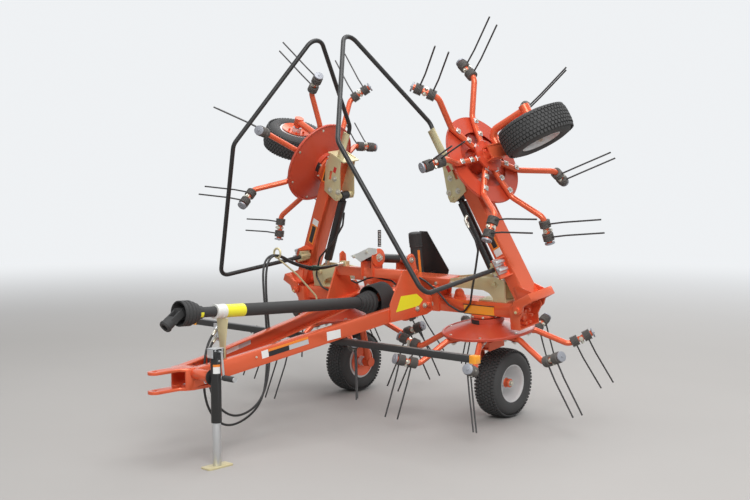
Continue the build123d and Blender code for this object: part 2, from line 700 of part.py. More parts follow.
# Everything that rides on the drawbar, as it stands
def rail_x(y):
    """Half width of the drawbar's outer faces at y."""
    if y < RAIL_FRONT_Y:
        share = (y - RAIL_NOSE_Y) / (RAIL_FRONT_Y - RAIL_NOSE_Y)
        return RAIL_NOSE_X + share * (RAIL_FRONT_X - RAIL_NOSE_X)
    share = (y - RAIL_FRONT_Y) / (RAIL_REAR_Y - RAIL_FRONT_Y)
    return RAIL_FRONT_X + share * (RAIL_REAR_X - RAIL_FRONT_X)


def channel_section(y, low, high):
    """The left rail's section at y: a channel open to the inside."""
    outer = rail_x(y)
    points = [
        (outer, low), (outer, high), (outer - RAIL_FLANGE, high), (outer - RAIL_FLANGE, high - RAIL_WALL),
        (outer - RAIL_WALL, high - RAIL_WALL), (outer - RAIL_WALL, low + RAIL_WALL),
        (outer - RAIL_FLANGE, low + RAIL_WALL), (outer - RAIL_FLANGE, low)]
    return Plane(origin=(0, y, 0), x_dir=(1, 0, 0), z_dir=(0, -1, 0)) * Polygon(*points, align=None)


def rail_bottom(y):
    """Height of the rails' lower edge at y, behind the front box."""
    (front, low, _), (rear, high, _) = RAIL_SECTIONS[-2:]
    return low + (high - low) * (y - front) / (rear - front)


def rail_top(y):
    """Height of the rails' upper edge at y, behind the front box."""
    (front, _, low), (rear, _, high) = RAIL_SECTIONS[-2:]
    return low + (high - low) * (y - front) / (rear - front)


def rail():
    sections = [channel_section(*row) for row in RAIL_SECTIONS]
    spans = [loft(sections[k:k + 2], ruled=True) for k in range(len(sections) - 1)]
    whole = fused(*spans)
    hole = rod((0, PITCH_PIVOT_Y, PITCH_PIVOT_Z), (RAIL_REAR_X + 10, PITCH_PIVOT_Y, PITCH_PIVOT_Z),
               PITCH_PIN_RADIUS + PIN_FIT)
    return whole - hole


def drawbar():
    """A-frame with the hitch clevis and the jack's stub."""
    pieces = [side_of(rail(), side) for side in (1, -1)]
    nose, front = RAIL_NOSE_X - 4, RAIL_FRONT_X - 4
    for z, back in ((LUG_TOP_Z, TOP_PLATE_BACK_Y), (LUG_BOTTOM_Z, BOX_BACK_Y)):
        low, high = z - LUG_THICKNESS / 2, z + LUG_THICKNESS / 2
        half = [(LUG_HALF_WIDTH, HITCH_Y), (LUG_HALF_WIDTH, RAIL_NOSE_Y - 20), (nose, RAIL_NOSE_Y),
                (front, RAIL_FRONT_Y), (front, back)]
        outline = half + [(-x, y) for x, y in reversed(half)]
        end = Pos(0, HITCH_Y, z) * Cylinder(LUG_HALF_WIDTH, LUG_THICKNESS)
        pieces.append(plate_z(outline, low, high) + end)
    pieces.append(bar((-front, front), (BOX_BACK_Y - 8, BOX_BACK_Y), (LUG_BOTTOM_Z, LUG_TOP_Z)))
    cross = rail_x(REST_Y) - RAIL_WALL / 2
    rest_back = REST_Y + REST_THICKNESS / 2 + SEAT_GAP
    pieces.append(bar((-cross, cross), (rest_back, rest_back + 8), (REST_FOOT - 2, REST_FOOT + 58)))
    stub_end = JACK_X - JACK_RADIUS - 10
    stub = rod((front, JACK_PIVOT_Y, JACK_STUB_Z), (stub_end, JACK_PIVOT_Y, JACK_STUB_Z), JACK_STUB_RADIUS)
    whole = fused(*pieces, stub)
    return whole - rod((0, HITCH_Y, LUG_BOTTOM_Z - 50), (0, HITCH_Y, LUG_TOP_Z + 50), HITCH_PIN_RADIUS)


def upright():
    """Left side plate of the headstock, flat on its rail, with the beam's pivot pin."""
    x = RAIL_REAR_X + SEAT_GAP
    outline = [
        (-480, 592), (-480, 696), (-384, CROSSBAR_TOP), (-345, CROSSBAR_TOP), (-345, 960), (-318, 975),
        (-290, 955), (-282, 870), (-232, 780), (-175, 752), (-152, 640), (-200, 618)]
    face = plate_x(outline, x, x + UPRIGHT_THICKNESS)
    splay = math.degrees(math.atan2(RAIL_REAR_X - RAIL_FRONT_X, RAIL_REAR_Y - RAIL_FRONT_Y))
    face = face.rotate(Axis((RAIL_REAR_X, RAIL_REAR_Y, 0), (0, 0, 1)), -splay)
    pin_start = PITCH_ARM_X - 8
    pin_end = (x + 22, PITCH_PIVOT_Y, PITCH_PIVOT_Z)
    pin = rod((pin_start, PITCH_PIVOT_Y, PITCH_PIVOT_Z), pin_end, PITCH_PIN_RADIUS)
    return face + pin


def crossbar():
    """Bar between the headstock's uprights with the tilt cylinder's front lugs."""
    front, rear = CROSSBAR_Y - CROSSBAR_DEPTH / 2, CROSSBAR_Y + CROSSBAR_DEPTH / 2
    x_front, x_rear = rail_x(front), rail_x(rear)
    pieces = [plate_z([(-x_front, front), (x_front, front), (x_rear, rear), (-x_rear, rear)],
                      CROSSBAR_BOTTOM, CROSSBAR_TOP)]
    y, z = TILT_FRONT_Y, TILT_FRONT_Z
    for turn in (1, -1):
        low, high = sorted((turn * TILT_LUG_X, turn * (TILT_LUG_X + TILT_LUG_THICKNESS)))
        pieces.append(lug_x((y, z), 46, CROSSBAR_BOTTOM + 4, 44, low, high))
    pin_end = TILT_LUG_X + TILT_LUG_THICKNESS + 10
    pieces.append(rod((-pin_end, y, z), (pin_end, y, z), PIVOT_PIN_RADIUS))
    return fused(*pieces)


def beam_tower():
    """Bridge on the beam's centre with the lugs and pin of the tilt cylinder, level."""
    seat = BEAM_TOP + SEAT_GAP
    half = [(TOWER_FOOT_X, seat), (TOWER_FOOT_X + 16, TOWER_END_BOTTOM), (TOWER_END_X, TOWER_END_BOTTOM),
            (TOWER_END_X, TOWER_TOP)]
    outline = half + [(-x, z) for x, z in reversed(half)]
    outer = TOWER_INNER + TOWER_WALL
    front = plate_y(outline, -outer, -TOWER_INNER)
    front -= rod((0, -outer - 1, DRIVE_Z), (0, 1 - TOWER_INNER, DRIVE_Z), NOSE_RADIUS + 2)
    rear = plate_y(outline, TOWER_INNER, outer)
    across = (-TOWER_INNER - 1, TOWER_INNER + 1)
    roof = bar((-TOWER_END_X, TOWER_END_X), across, (TOWER_TOP - TOWER_WALL, TOWER_TOP))
    pieces = [front, rear, roof]
    for turn in (1, -1):
        side = sorted((turn * TOWER_SIDE_X, turn * (TOWER_SIDE_X + TOWER_WALL)))
        pieces.append(bar(side, across, (seat, TOWER_TOP - 1)))
        bracket = sorted((turn * BRACKET_X[0], turn * BRACKET_X[1]))
        face = -BEAM_HALF_DEPTH - SEAT_GAP
        pieces.append(bar(bracket, (face - BRACKET_THICKNESS, face), (BRACKET_BOTTOM, BEAM_TOP + 1)))
        pieces.append(bar(bracket, (face - BRACKET_THICKNESS, 1 - outer), (seat, TOWER_END_BOTTOM + 5)))
    y, z = level_yz(TILT_REAR_Y, TILT_REAR_Z)
    for turn in (1, -1):
        low, high = sorted((turn * TILT_LUG_X, turn * (TILT_LUG_X + TILT_LUG_THICKNESS)))
        pieces.append(lug_x((y, z), TOWER_INNER, TOWER_TOP - 5, 34, low, high))
    pin_end = TILT_LUG_X + TILT_LUG_THICKNESS + 10
    pieces.append(rod((-pin_end, y, z), (pin_end, y, z), PIVOT_PIN_RADIUS))
    return fused(*pieces)


def sign_plate():
    """Sign plate that faces the rear, on two arms from the tower's rear plate, level and blank."""
    sign = plate_y([(SIGN_X + x, z) for x, z in SIGN_OUTLINE], SIGN_Y, SIGN_Y + SIGN_THICKNESS)
    start = TOWER_INNER + TOWER_WALL + SEAT_GAP
    pieces = [sign]
    for turn in (1, -1):
        x = SIGN_X + turn * SIGN_ARM_X
        pieces.append(bar((x - 3, x + 3), (start, SIGN_Y + 1), (790, 820)))
        pieces.append(bar((x - 14, x + 14), (start, start + 6), (TOWER_TOP - 48, TOWER_TOP - 12)))
    return fused(*pieces)


def document_tube():
    """Screw-capped tube for papers that stands against the tower's rear plate, level."""
    y = TOWER_INNER + TOWER_WALL + SEAT_GAP + DOCUMENT_CAP_RADIUS
    cap = DOCUMENT_TOP - DOCUMENT_CAP
    r, wide = DOCUMENT_RADIUS, DOCUMENT_CAP_RADIUS
    base = DOCUMENT_BOTTOM
    foot = [(0, base), (wide, base), (wide, base + 30), (r, base + 34)]
    head = [(r, cap - 4), (wide, cap), (wide, DOCUMENT_TOP - 6), (wide - 6, DOCUMENT_TOP), (0, DOCUMENT_TOP)]
    profile = foot + head
    return Pos(DOCUMENT_X, y, 0) * spun(profile)


def pivot_arms():
    """Plates welded to the beam's front that hang on the drawbar's pivot pins, level."""
    y, z = level_yz(PITCH_PIVOT_Y, PITCH_PIVOT_Z)
    face = 1 - BEAM_HALF_DEPTH
    pieces = []
    for turn in (1, -1):
        low, high = sorted((turn * PITCH_ARM_X, turn * (PITCH_ARM_X + 14)))
        outline = [(y - 30, z - 24), (y - 30, z + 24), (face, BEAM_TOP - 4), (face, BEAM_BOTTOM + 4)]
        arm_plate = plate_x(outline, low, high)
        pieces.append(arm_plate - rod((-400, y, z), (400, y, z), PITCH_PIN_RADIUS + PIN_FIT))
    return pieces


def level_yz(y, z):
    """Where a standing point lies on the level beam."""
    c, s = math.cos(math.radians(TILT)), math.sin(math.radians(TILT))
    rise = z - TILT_HEIGHT
    return y * c + rise * s, TILT_HEIGHT + rise * c - y * s


def tilt_cylinder():
    """Barrel and rod between the headstock and the beam's tower."""
    front = Vector(0, TILT_FRONT_Y, TILT_FRONT_Z)
    rear = Vector(0, TILT_REAR_Y, TILT_REAR_Z)
    along = (rear - front).normalized()
    half = Vector(TILT_LUG_X - PLATE_GAP, 0, 0)
    mouth = rear - along * 78
    barrel = fused(rod(front - half, front + half, 24), rod(front + along * 20, front + along * 42, 16),
                   rod(front + along * 40, mouth, TILT_CYLINDER_RADIUS))
    barrel -= rod(front - half * 2, front + half * 2, PIVOT_PIN_RADIUS + PIN_FIT)
    barrel -= rod(front + along * 60, rear, TILT_ROD_RADIUS + PIN_FIT)
    shaft = rod(front + along * 85, rear - along * 18, TILT_ROD_RADIUS) + rod(rear - half, rear + half, 22)
    return barrel, shaft - rod(rear - half * 2, rear + half * 2, PIVOT_PIN_RADIUS + OPEN_PIN_GAP)


# Jack on the drawbar's left side
def jack_tube():
    """Round outer tube with its gear block on top and the swivel sleeve on its side."""
    x, y, z = JACK_X, JACK_PIVOT_Y, JACK_STUB_Z
    body = rod((x, JACK_Y, JACK_BOTTOM), (x, JACK_Y, JACK_BLOCK_BOTTOM + 1), JACK_RADIUS)
    across = (x - JACK_BLOCK_HALF_X, x + JACK_BLOCK_HALF_X)
    along = (JACK_Y - JACK_BLOCK_HALF_Y, JACK_Y + JACK_BLOCK_HALF_Y)
    block = bar(across, along, (JACK_BLOCK_BOTTOM, JACK_BLOCK_TOP))
    outer = JACK_STUB_RADIUS + JACK_SLEEVE_WALL
    start = rail_x(y) + 12
    side = x - JACK_RADIUS
    sleeve = rod((start, y, z), (side + 3, y, z), outer)
    flange = rod((side - JACK_FLANGE_THICKNESS - 1, y, z), (side - 1, y, z), JACK_FLANGE_RADIUS)
    saddle = bar((side - 2, x), (y - 18, y + 18), (z - 34, z + 34))
    whole = fused(body, block, sleeve, flange, saddle)
    cavity_top = (x, JACK_Y, JACK_BLOCK_TOP - JACK_CAP)
    whole -= rod((x, JACK_Y, JACK_BOTTOM - 1), cavity_top, JACK_RADIUS - JACK_WALL)
    return whole - rod((start - 1, y, z), (side - 4, y, z), JACK_STUB_RADIUS + PIN_FIT)


def jack_inner():
    r = JACK_RADIUS - JACK_WALL - JACK_LEG_FIT
    return rod((JACK_X, JACK_Y, FOOT_THICKNESS), (JACK_X, JACK_Y, JACK_INNER_TOP), r)


def jack_foot():
    plan = RectangleRounded(FOOT_WIDTH, FOOT_LENGTH, FOOT_CORNER)
    return Pos(JACK_X, JACK_Y, 0) * extrude(plan, amount=FOOT_THICKNESS)


def jack_crank():
    x = JACK_X + JACK_BLOCK_HALF_X + SEAT_GAP
    throw_x = x + 22
    low_y, low_z = JACK_Y + CRANK_LEAN, CRANK_Z - CRANK_THROW
    shaft = rod((x, JACK_Y, CRANK_Z), (throw_x + CRANK_RADIUS, JACK_Y, CRANK_Z), CRANK_RADIUS)
    lever = rod((throw_x, JACK_Y, CRANK_Z), (throw_x, low_y, low_z), CRANK_RADIUS)
    grip = rod((throw_x - 7, low_y, low_z), (throw_x - 7 + GRIP_LENGTH, low_y, low_z), GRIP_RADIUS)
    return fused(shaft, lever, grip)


def marker_bar():
    half = MARKER_SIZE / 2
    top = rail_bottom(MARKER_Y - half) - SEAT_GAP
    end = MARKER_HALF_LENGTH - MARKER_TIP_LENGTH
    cross = bar((-end, end), (MARKER_Y - half, MARKER_Y + half), (top - MARKER_SIZE, top))
    tips = []
    for side in (1, -1):
        x = sorted((side * end, side * MARKER_HALF_LENGTH))
        tips.append(bar(x, (MARKER_Y - half - 3, MARKER_Y + half + 3), (top - MARKER_SIZE - 3, top + 3)))
    return cross, Compound(tips)


def driveline_axis():
    """Rear joint, unit direction to the front and length of the driveline."""
    rear = Vector(*tilt_point(0, -JOINT_BACK, DRIVE_Z))
    front = Vector(0, DRIVE_FRONT_Y, DRIVE_FRONT_Z)
    return rear, (front - rear).normalized(), (front - rear).length


def on_driveline(piece):
    """A piece modelled up from the rear joint along Z, laid along the driveline."""
    rear, along, _ = driveline_axis()
    return Plane(origin=rear, x_dir=(1, 0, 0), z_dir=along).location * piece


def ribbed(start, end, small, large, count):
    """The outside of a ribbed cone, as (radius, height) points from its small end to its large one."""
    step = (end - start) / count
    points = []
    for k in range(count):
        r = small + (large - small) * k / (count - 1)
        points += [(r, start + k * step), (r, start + (k + 0.6) * step), (r - 3, start + (k + 0.7) * step)]
    return points


def driveline_cone_rear():
    """Ribbed cone over the driveline's rear joint."""
    small_end = DRIVE_TUBE_START - SEAT_GAP
    outside = ribbed(-small_end, -CONE_REAR_START, 40, CONE_REAR_RADIUS, 5)
    profile = [(0, small_end)] + [(r, -height) for r, height in outside]
    profile += [(CONE_REAR_RADIUS - 3, CONE_REAR_START), (CONE_REAR_RADIUS - 8, CONE_REAR_START), (36, 56),
                (YOKE_RADIUS, 56), (YOKE_RADIUS, -12), (0, -12)]
    return on_driveline(spun(profile))


def driveline_tube():
    """Rear half's guard tube, open at its front end."""
    inner = DRIVE_SHAFT_RADIUS + SEAT_GAP
    return on_driveline(spun([(inner, DRIVE_TUBE_START), (DRIVE_TUBE_RADIUS, DRIVE_TUBE_START),
                              (DRIVE_TUBE_RADIUS, DRIVE_TUBE_END), (inner, DRIVE_TUBE_END)]))


def cone_front_start():
    """Where the front cone's small end lies along the driveline."""
    return driveline_axis()[2] - CONE_FRONT_BACK


def driveline_shaft():
    """Front half: the tube that slides in the rear one."""
    return on_driveline(spun([(0, DRIVE_SHAFT_START), (DRIVE_SHAFT_RADIUS, DRIVE_SHAFT_START),
                              (DRIVE_SHAFT_RADIUS, cone_front_start()), (0, cone_front_start())]))


def driveline_cone_front():
    """Ribbed cone over the driveline's front joint."""
    start = cone_front_start() + SEAT_GAP
    end = start + CONE_RIBS * CONE_RIB_STEP
    floor = start + CONE_FLOOR
    profile = [(0, start)] + ribbed(start, end, 42, CONE_RADIUS, CONE_RIBS)
    profile += [(CONE_RADIUS - 3, end), (CONE_RADIUS - 8, end), (38, floor), (0, floor)]
    return on_driveline(spun(profile))


def pto_yoke():
    """Quick-release yoke that hangs from its joint out of the front cone, with its bore."""
    floor = cone_front_start() + CONE_FLOOR + 2 * SEAT_GAP
    joint = cone_front_start() + SEAT_GAP + CONE_RIBS * CONE_RIB_STEP - YOKE_JOINT_BACK
    width, depth = 2 * YOKE_HALF_WIDTH, 2 * YOKE_HALF_DEPTH
    low = (Align.CENTER, Align.CENTER, Align.MIN)
    post = Pos(0, 0, floor) * Cylinder(YOKE_RADIUS, joint - floor - 12, align=low)
    inner_ears = Pos(0, 0, joint - 18) * Box(26, width, 36)
    cross = Pos(0, 0, joint) * Box(width - 8, width - 8, 14)
    fork = Pos(0, 0, -14) * Box(width, depth, SLEEVE_START + 15, align=low)
    fork -= Pos(0, 0, -15) * Box(width - 22, depth + 2, 55, align=low)
    sleeve = Pos(0, 0, SLEEVE_START) * Cylinder(SLEEVE_RADIUS, SLEEVE_END - SLEEVE_START, align=low)
    collar = Pos(0, 0, SLEEVE_END - 14) * Cylinder(SLEEVE_RADIUS + 3, 8, align=low)
    bore = Pos(0, 0, SLEEVE_END - PTO_BORE_LENGTH) * Cylinder(PTO_BORE_RADIUS, PTO_BORE_LENGTH + 1, align=low)
    hanging = Pos(0, 0, joint) * Rot(YOKE_HANG, 0, 0) * (fused(fork, sleeve, collar) - bore)
    return on_driveline(fused(post, inner_ears, cross, hanging))


def driveline_rest():
    """Flat arm from the drawbar's front plate up to the driveline."""
    rear, along, _ = driveline_axis()
    half = REST_THICKNESS / 2
    share = (REST_Y + half - rear.Y) / along.Y
    top = rear.Z + along.Z * share - DRIVE_TUBE_RADIUS / abs(along.Y) - SEAT_GAP
    right = [(20, REST_FOOT), (22, 560), (44, top)]
    outline = right + [(-x, z) for x, z in reversed(right)]
    return plate_y(outline, REST_Y - half, REST_Y + half)


def hose(points):
    """A hose along its route, with arcs as large as its runs allow."""
    route = [Vector(*point) for point in points]
    runs = [after - before for before, after in zip(route, route[1:])]
    radii = []
    for before, after in zip(runs, runs[1:]):
        half_turn = math.radians(before.get_angle(after)) / 2
        radii.append(0.45 * min(before.length, after.length) / math.tan(half_turn))
    path = FilletPolyline(*points, radius=radii)
    print("hose radii", [round(radius) for radius in radii], "length", round(path.length))
    return sweep(Plane(origin=points[0], z_dir=runs[0]) * Circle(HOSE_RADIUS), path=path)


def hose_hook():
    """Rod on the right rail that ends in the ring the hoses hang in, and their block on the crossbar."""
    x, y, z = HOOK_RING
    ring = Pos(x, y, z) * Rot(90, 0, 0) * Torus(HOOK_RING_RADIUS, HOOK_RING_WIRE)
    foot_x = -rail_x(HOOK_Y) + RAIL_FLANGE / 2
    front, back = HOOK_Y - 20, HOOK_Y + 20
    foot = plate_x([(front, rail_top(front) + SEAT_GAP), (back, rail_top(back) + SEAT_GAP),
                    (back, rail_top(back) + 6), (front, rail_top(front) + 6)], foot_x - 16, foot_x + 16)
    points = [(foot_x, HOOK_Y, rail_top(HOOK_Y) + 3), (foot_x - 6, HOOK_Y - 6, rail_top(HOOK_Y) + 75),
              (-240, -740, 860), (x, y, z - HOOK_RING_RADIUS)]
    path = FilletPolyline(*points, radius=40)
    start = Plane(origin=points[0], z_dir=Vector(*points[1]) - Vector(*points[0]))
    stem = sweep(start * Circle(HOOK_RADIUS), path=path)
    (one_x, front, hose_z), (two_x, _, _) = HOSE_ONE[0], HOSE_TWO[0]
    block = bar((two_x - 14, one_x + 14), (front + 1.5, front + 37), (CROSSBAR_TOP + SEAT_GAP, hose_z + 14))
    return Compound([fused(foot, stem, ring), block])


def hose_couplers():
    """The hoses' quick couplers in their clip on the back of the driveline's rest."""
    back = REST_Y + REST_THICKNESS / 2 + SEAT_GAP
    clip = bar((-78, -8), (back, back + 7), (572, 664))
    pieces = [clip]
    for points in (HOSE_ONE, HOSE_TWO):
        end = Vector(*points[-1])
        along = (end - Vector(*points[-2])).normalized()
        pieces.append(rod(end, end + along * COUPLER_LENGTH, COUPLER_RADIUS))
    return fused(*pieces)


def driveline_shield():
    """Bell round the driveline's rear joint, open at the front, on the level beam."""
    inside, bore = BELL_RADIUS - 5, NOSE_RADIUS + SEAT_GAP
    profile = [(inside, 0), (BELL_RADIUS, 0), (BELL_RADIUS, 120), (60, 150), (bore, 150),
               (NOSE_RADIUS + SEAT_GAP, 144), (58, 144), (BELL_RADIUS - 5, 117)]
    return Pos(0, -BELL_FRONT, DRIVE_Z) * spun(profile).rotate(Axis.X, -90)


def centre_gearbox():
    """Gearbox between the tower's plates with its input nose and shaft, level."""
    inner = TOWER_INNER - SEAT_GAP
    seat = BEAM_TOP + SEAT_GAP
    housing = bar((-75, 75), (-inner, inner), (seat, TOWER_TOP - TOWER_WALL - 5))
    nose = rod((0, -inner + 1, DRIVE_Z), (0, -BELL_FRONT + 100, DRIVE_Z), NOSE_RADIUS)
    stub = rod((0, -BELL_FRONT + 101, DRIVE_Z), (0, -INPUT_END, DRIVE_Z), 17)
    return intersect_above(fused(housing, nose, stub), seat)


def intersect_above(piece, z):
    """The piece cut off below z."""
    return piece & bar((-500, 500), (-800, 800), (z, z + 1000))


nodes = {}


def build():
    left_wing = wing()
    marker, tips = marker_bar()
    tilt_barrel, tilt_rod = tilt_cylinder()
    barrel, shaft = fold_cylinder()
    nodes["drawbar"] = drawbar()
    nodes["crossbar"] = crossbar()
    nodes["jack_tube"] = jack_tube()
    nodes["jack_inner"] = jack_inner()
    nodes["jack_foot"] = jack_foot()
    nodes["jack_crank"] = jack_crank()
    nodes["marker_bar"] = marker
    nodes["marker_tips"] = tips
    nodes["beam"] = tilted(fused(beam(), *pivot_arms()))
    nodes["beam_tower"] = tilted(beam_tower())
    nodes["centre_gearbox"] = tilted(centre_gearbox())
    nodes["driveline_shield"] = tilted(driveline_shield())
    nodes["tilt_barrel"] = tilt_barrel
    nodes["tilt_rod"] = tilt_rod
    nodes["driveline_cone_rear"] = driveline_cone_rear()
    nodes["driveline_tube"] = driveline_tube()
    nodes["driveline_shaft"] = driveline_shaft()
    nodes["driveline_cone_front"] = driveline_cone_front()
    nodes["pto_yoke"] = pto_yoke()
    nodes["driveline_rest"] = driveline_rest()
    nodes["sign_plate"] = tilted(sign_plate())
    nodes["document_tube"] = tilted(document_tube())
    nodes["hose_hook"] = hose_hook()
    nodes["hose_couplers"] = hose_couplers()
    nodes["hydraulic_hose_one"] = hose(HOSE_ONE)
    nodes["hydraulic_hose_two"] = hose(HOSE_TWO)
    for name, side in (("left", 1), ("right", -1)):
        nodes[f"headstock_{name}"] = side_of(upright(), side)
        nodes[f"wing_{name}"] = folded(side_of(left_wing, side), side)
        nodes[f"gold_plates_{name}"] = folded(side_of(gold_plates(), side), side)
        nodes[f"guard_hoop_{name}"] = folded(side_of(hoop(), side), side)
        nodes[f"fold_plates_{name}"] = tilted(side_of(fold_plates(), side))
        nodes[f"fold_barrel_{name}"] = tilted(side_of(barrel, side))
        nodes[f"fold_rod_{name}"] = tilted(side_of(shaft, side))
    for place, side, x, spin in (
            ("inner_left", 1, INNER_ROTOR_X, 1), ("inner_right", -1, INNER_ROTOR_X, -1),
            ("outer_left", 1, OUTER_ROTOR_X, -1), ("outer_right", -1, OUTER_ROTOR_X, 1)):
        inner = place.startswith("inner")
        fork = side if inner else -side
        axis = Pos(side * x, 0, 0)
        centre = Pos(side * x + fork * WHEEL_OFFSET, WHEEL_TRAIL, WHEEL_Z)
        pieces = {
            "rotor_dish": axis * dish(),
            "rotor_arms": axis * arms(spin * ROTOR_PHASE, spin),
            "wheel_leg": axis * side_of(wheel_leg(), fork),
            "tyre": centre * side_of(tyre(), fork),
            "rim": centre * side_of(rim(), fork),
        }
        for piece, solid in pieces.items():
            nodes[f"{piece}_{place}"] = tilted(solid) if inner else folded(solid, side)


build()
origin = Vector(0, HITCH_Y, (LUG_TOP_Z + LUG_BOTTOM_Z) / 2)
os.makedirs("parts", exist_ok=True)
for name, piece in nodes.items():
    export_step(Pos(-origin.X, -origin.Y, -origin.Z) * piece, f"parts/{name}.step")
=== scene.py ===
"""Finishes, camera, light and the small dressed pieces of a trailed hay tedder with folded wings.

The CAD frame is loaded as it is packed. Lengths here are metres. Pieces of the beam are modelled on the
level machine, as its maker would draw them, and a Stance matrix then folds and leans them to where they
stand in the frame.
"""

from __future__ import annotations

import json
import logging
import math
from dataclasses import dataclass, field
from enum import Enum
from typing import Iterable, Sequence

import bmesh
import bpy
from bmesh.types import BMEdge, BMesh, BMVert
from mathutils import Matrix, Vector

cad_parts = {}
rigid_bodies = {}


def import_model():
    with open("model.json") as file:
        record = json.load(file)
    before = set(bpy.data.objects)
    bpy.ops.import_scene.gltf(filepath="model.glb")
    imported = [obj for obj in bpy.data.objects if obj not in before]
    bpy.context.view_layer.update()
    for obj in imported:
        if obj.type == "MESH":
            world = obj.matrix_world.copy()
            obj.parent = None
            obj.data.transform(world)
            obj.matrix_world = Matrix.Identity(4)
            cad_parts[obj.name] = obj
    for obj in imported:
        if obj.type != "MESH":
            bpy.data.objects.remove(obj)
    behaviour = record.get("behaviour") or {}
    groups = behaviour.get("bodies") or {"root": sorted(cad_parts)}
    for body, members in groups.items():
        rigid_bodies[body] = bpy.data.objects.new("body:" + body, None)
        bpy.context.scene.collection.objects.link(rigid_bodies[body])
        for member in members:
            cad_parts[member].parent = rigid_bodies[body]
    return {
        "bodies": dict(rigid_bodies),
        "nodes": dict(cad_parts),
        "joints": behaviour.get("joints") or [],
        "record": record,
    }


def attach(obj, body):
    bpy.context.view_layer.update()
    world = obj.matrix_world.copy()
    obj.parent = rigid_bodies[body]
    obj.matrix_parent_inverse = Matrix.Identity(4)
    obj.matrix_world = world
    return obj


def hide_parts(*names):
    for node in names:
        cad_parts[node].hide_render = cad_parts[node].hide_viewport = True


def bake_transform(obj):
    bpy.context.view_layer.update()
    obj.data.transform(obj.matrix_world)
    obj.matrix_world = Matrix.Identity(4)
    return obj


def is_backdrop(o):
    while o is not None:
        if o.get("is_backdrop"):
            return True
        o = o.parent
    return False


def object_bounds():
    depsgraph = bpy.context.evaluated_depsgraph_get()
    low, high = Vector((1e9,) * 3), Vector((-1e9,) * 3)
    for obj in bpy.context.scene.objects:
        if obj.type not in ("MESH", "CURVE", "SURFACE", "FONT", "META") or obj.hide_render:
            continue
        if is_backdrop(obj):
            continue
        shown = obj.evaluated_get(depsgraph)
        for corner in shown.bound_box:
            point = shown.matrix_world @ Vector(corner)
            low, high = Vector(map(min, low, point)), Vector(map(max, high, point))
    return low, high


LOG = logging.getLogger("tedder")
Point = tuple[float, float, float]
Flat = tuple[float, float]
LYING = Matrix.Rotation(math.pi / 2, 4, "Y")
SKIN = 0.0008
DUST = (0.42, 0.39, 0.35, 1.0)


class Wire:
    """An output socket with arithmetic, so that shader maths reads as an expression."""

    def __init__(self, net: Net, socket: bpy.types.NodeSocket) -> None:
        """Keeps the socket and the net that it belongs to."""
        self.net = net
        self.socket = socket

    def _maths(self, operation: str, first: Wire | float, second: Wire | float) -> Wire:
        """One Math node's output."""
        return self.net.add("ShaderNodeMath", {"operation": operation}, {0: first, 1: second})

    def __add__(self, other: Wire | float) -> Wire:
        """Sum."""
        return self._maths("ADD", self, other)

    def __mul__(self, other: Wire | float) -> Wire:
        """Product."""
        return self._maths("MULTIPLY", self, other)

    def largest(self, other: Wire | float) -> Wire:
        """The larger of two values."""
        return self._maths("MAXIMUM", self, other)


class Net:
    """The node tree of a material or of the surroundings, filled through one method."""

    def __init__(self, owner: bpy.types.Material | bpy.types.World) -> None:
        """Starts from an empty tree.

        Args:
            owner: whose nodes are made.
        """
        owner.use_nodes = True
        self.tree = owner.node_tree
        self.tree.nodes.clear()

    def add(self, kind: str, settings: dict[str, object] | None = None,
            values: dict[int | str, object] | None = None, output: int | str = 0) -> Wire:
        """Adds a node.

        Args:
            kind: the node's type.
            settings: its properties, set first.
            values: numbers, colours or links for its inputs, by index or name.
            output: which output is handed back.

        Returns:
            That output.
        """
        node = self.tree.nodes.new(kind)
        for name, value in (settings or {}).items():
            setattr(node, name, value)
        for key, value in (values or {}).items():
            if isinstance(value, Wire):
                self.tree.links.new(value.socket, node.inputs[key])
            else:
                node.inputs[key].default_value = value
        return Wire(self, node.outputs[output])

    def place(self) -> Wire:
        """Object coordinates through a Mapping node."""
        raw = self.add("ShaderNodeTexCoord", output="Object")
        return self.add("ShaderNodeMapping", {}, {"Vector": raw})

    def noise(self, scale: float, detail: float = 3.0) -> Wire:
        """Noise from 0 to 1 in the piece's own coordinates, with so many grains a metre."""
        values = {"Vector": self.place(), "Scale": scale, "Detail": detail}
        return self.add("ShaderNodeTexNoise", {}, values)

    def mix(self, share: Wire | float, first: object, second: object) -> Wire:
        """Mixes two colours: a share of 0 gives the first and 1 the second."""
        settings = {"data_type": "RGBA", "clamp_factor": True}
        return self.add("ShaderNodeMix", settings, {0: share, 6: first, 7: second}, 2)

    def finish(self, values: dict[str, object]) -> None:
        """Ends the tree with a Principled shader of these inputs."""
        self.add_output(self.add("ShaderNodeBsdfPrincipled", {}, values, "BSDF"))

    def add_output(self, shader: Wire, kind: str = "ShaderNodeOutputMaterial") -> None:
        """Joins a shader to the output."""
        node = self.tree.nodes.new(kind)
        self.tree.links.new(shader.socket, node.inputs["Surface"])


def link(name: str, data: bpy.types.ID) -> bpy.types.Object:
    """Puts an object into the scene.

    Args:
        name: its name.
        data: its mesh, curve, lamp or camera.

    Returns:
        The object.
    """
    made = bpy.data.objects.new(name, data)
    bpy.context.scene.collection.objects.link(made)
    return made


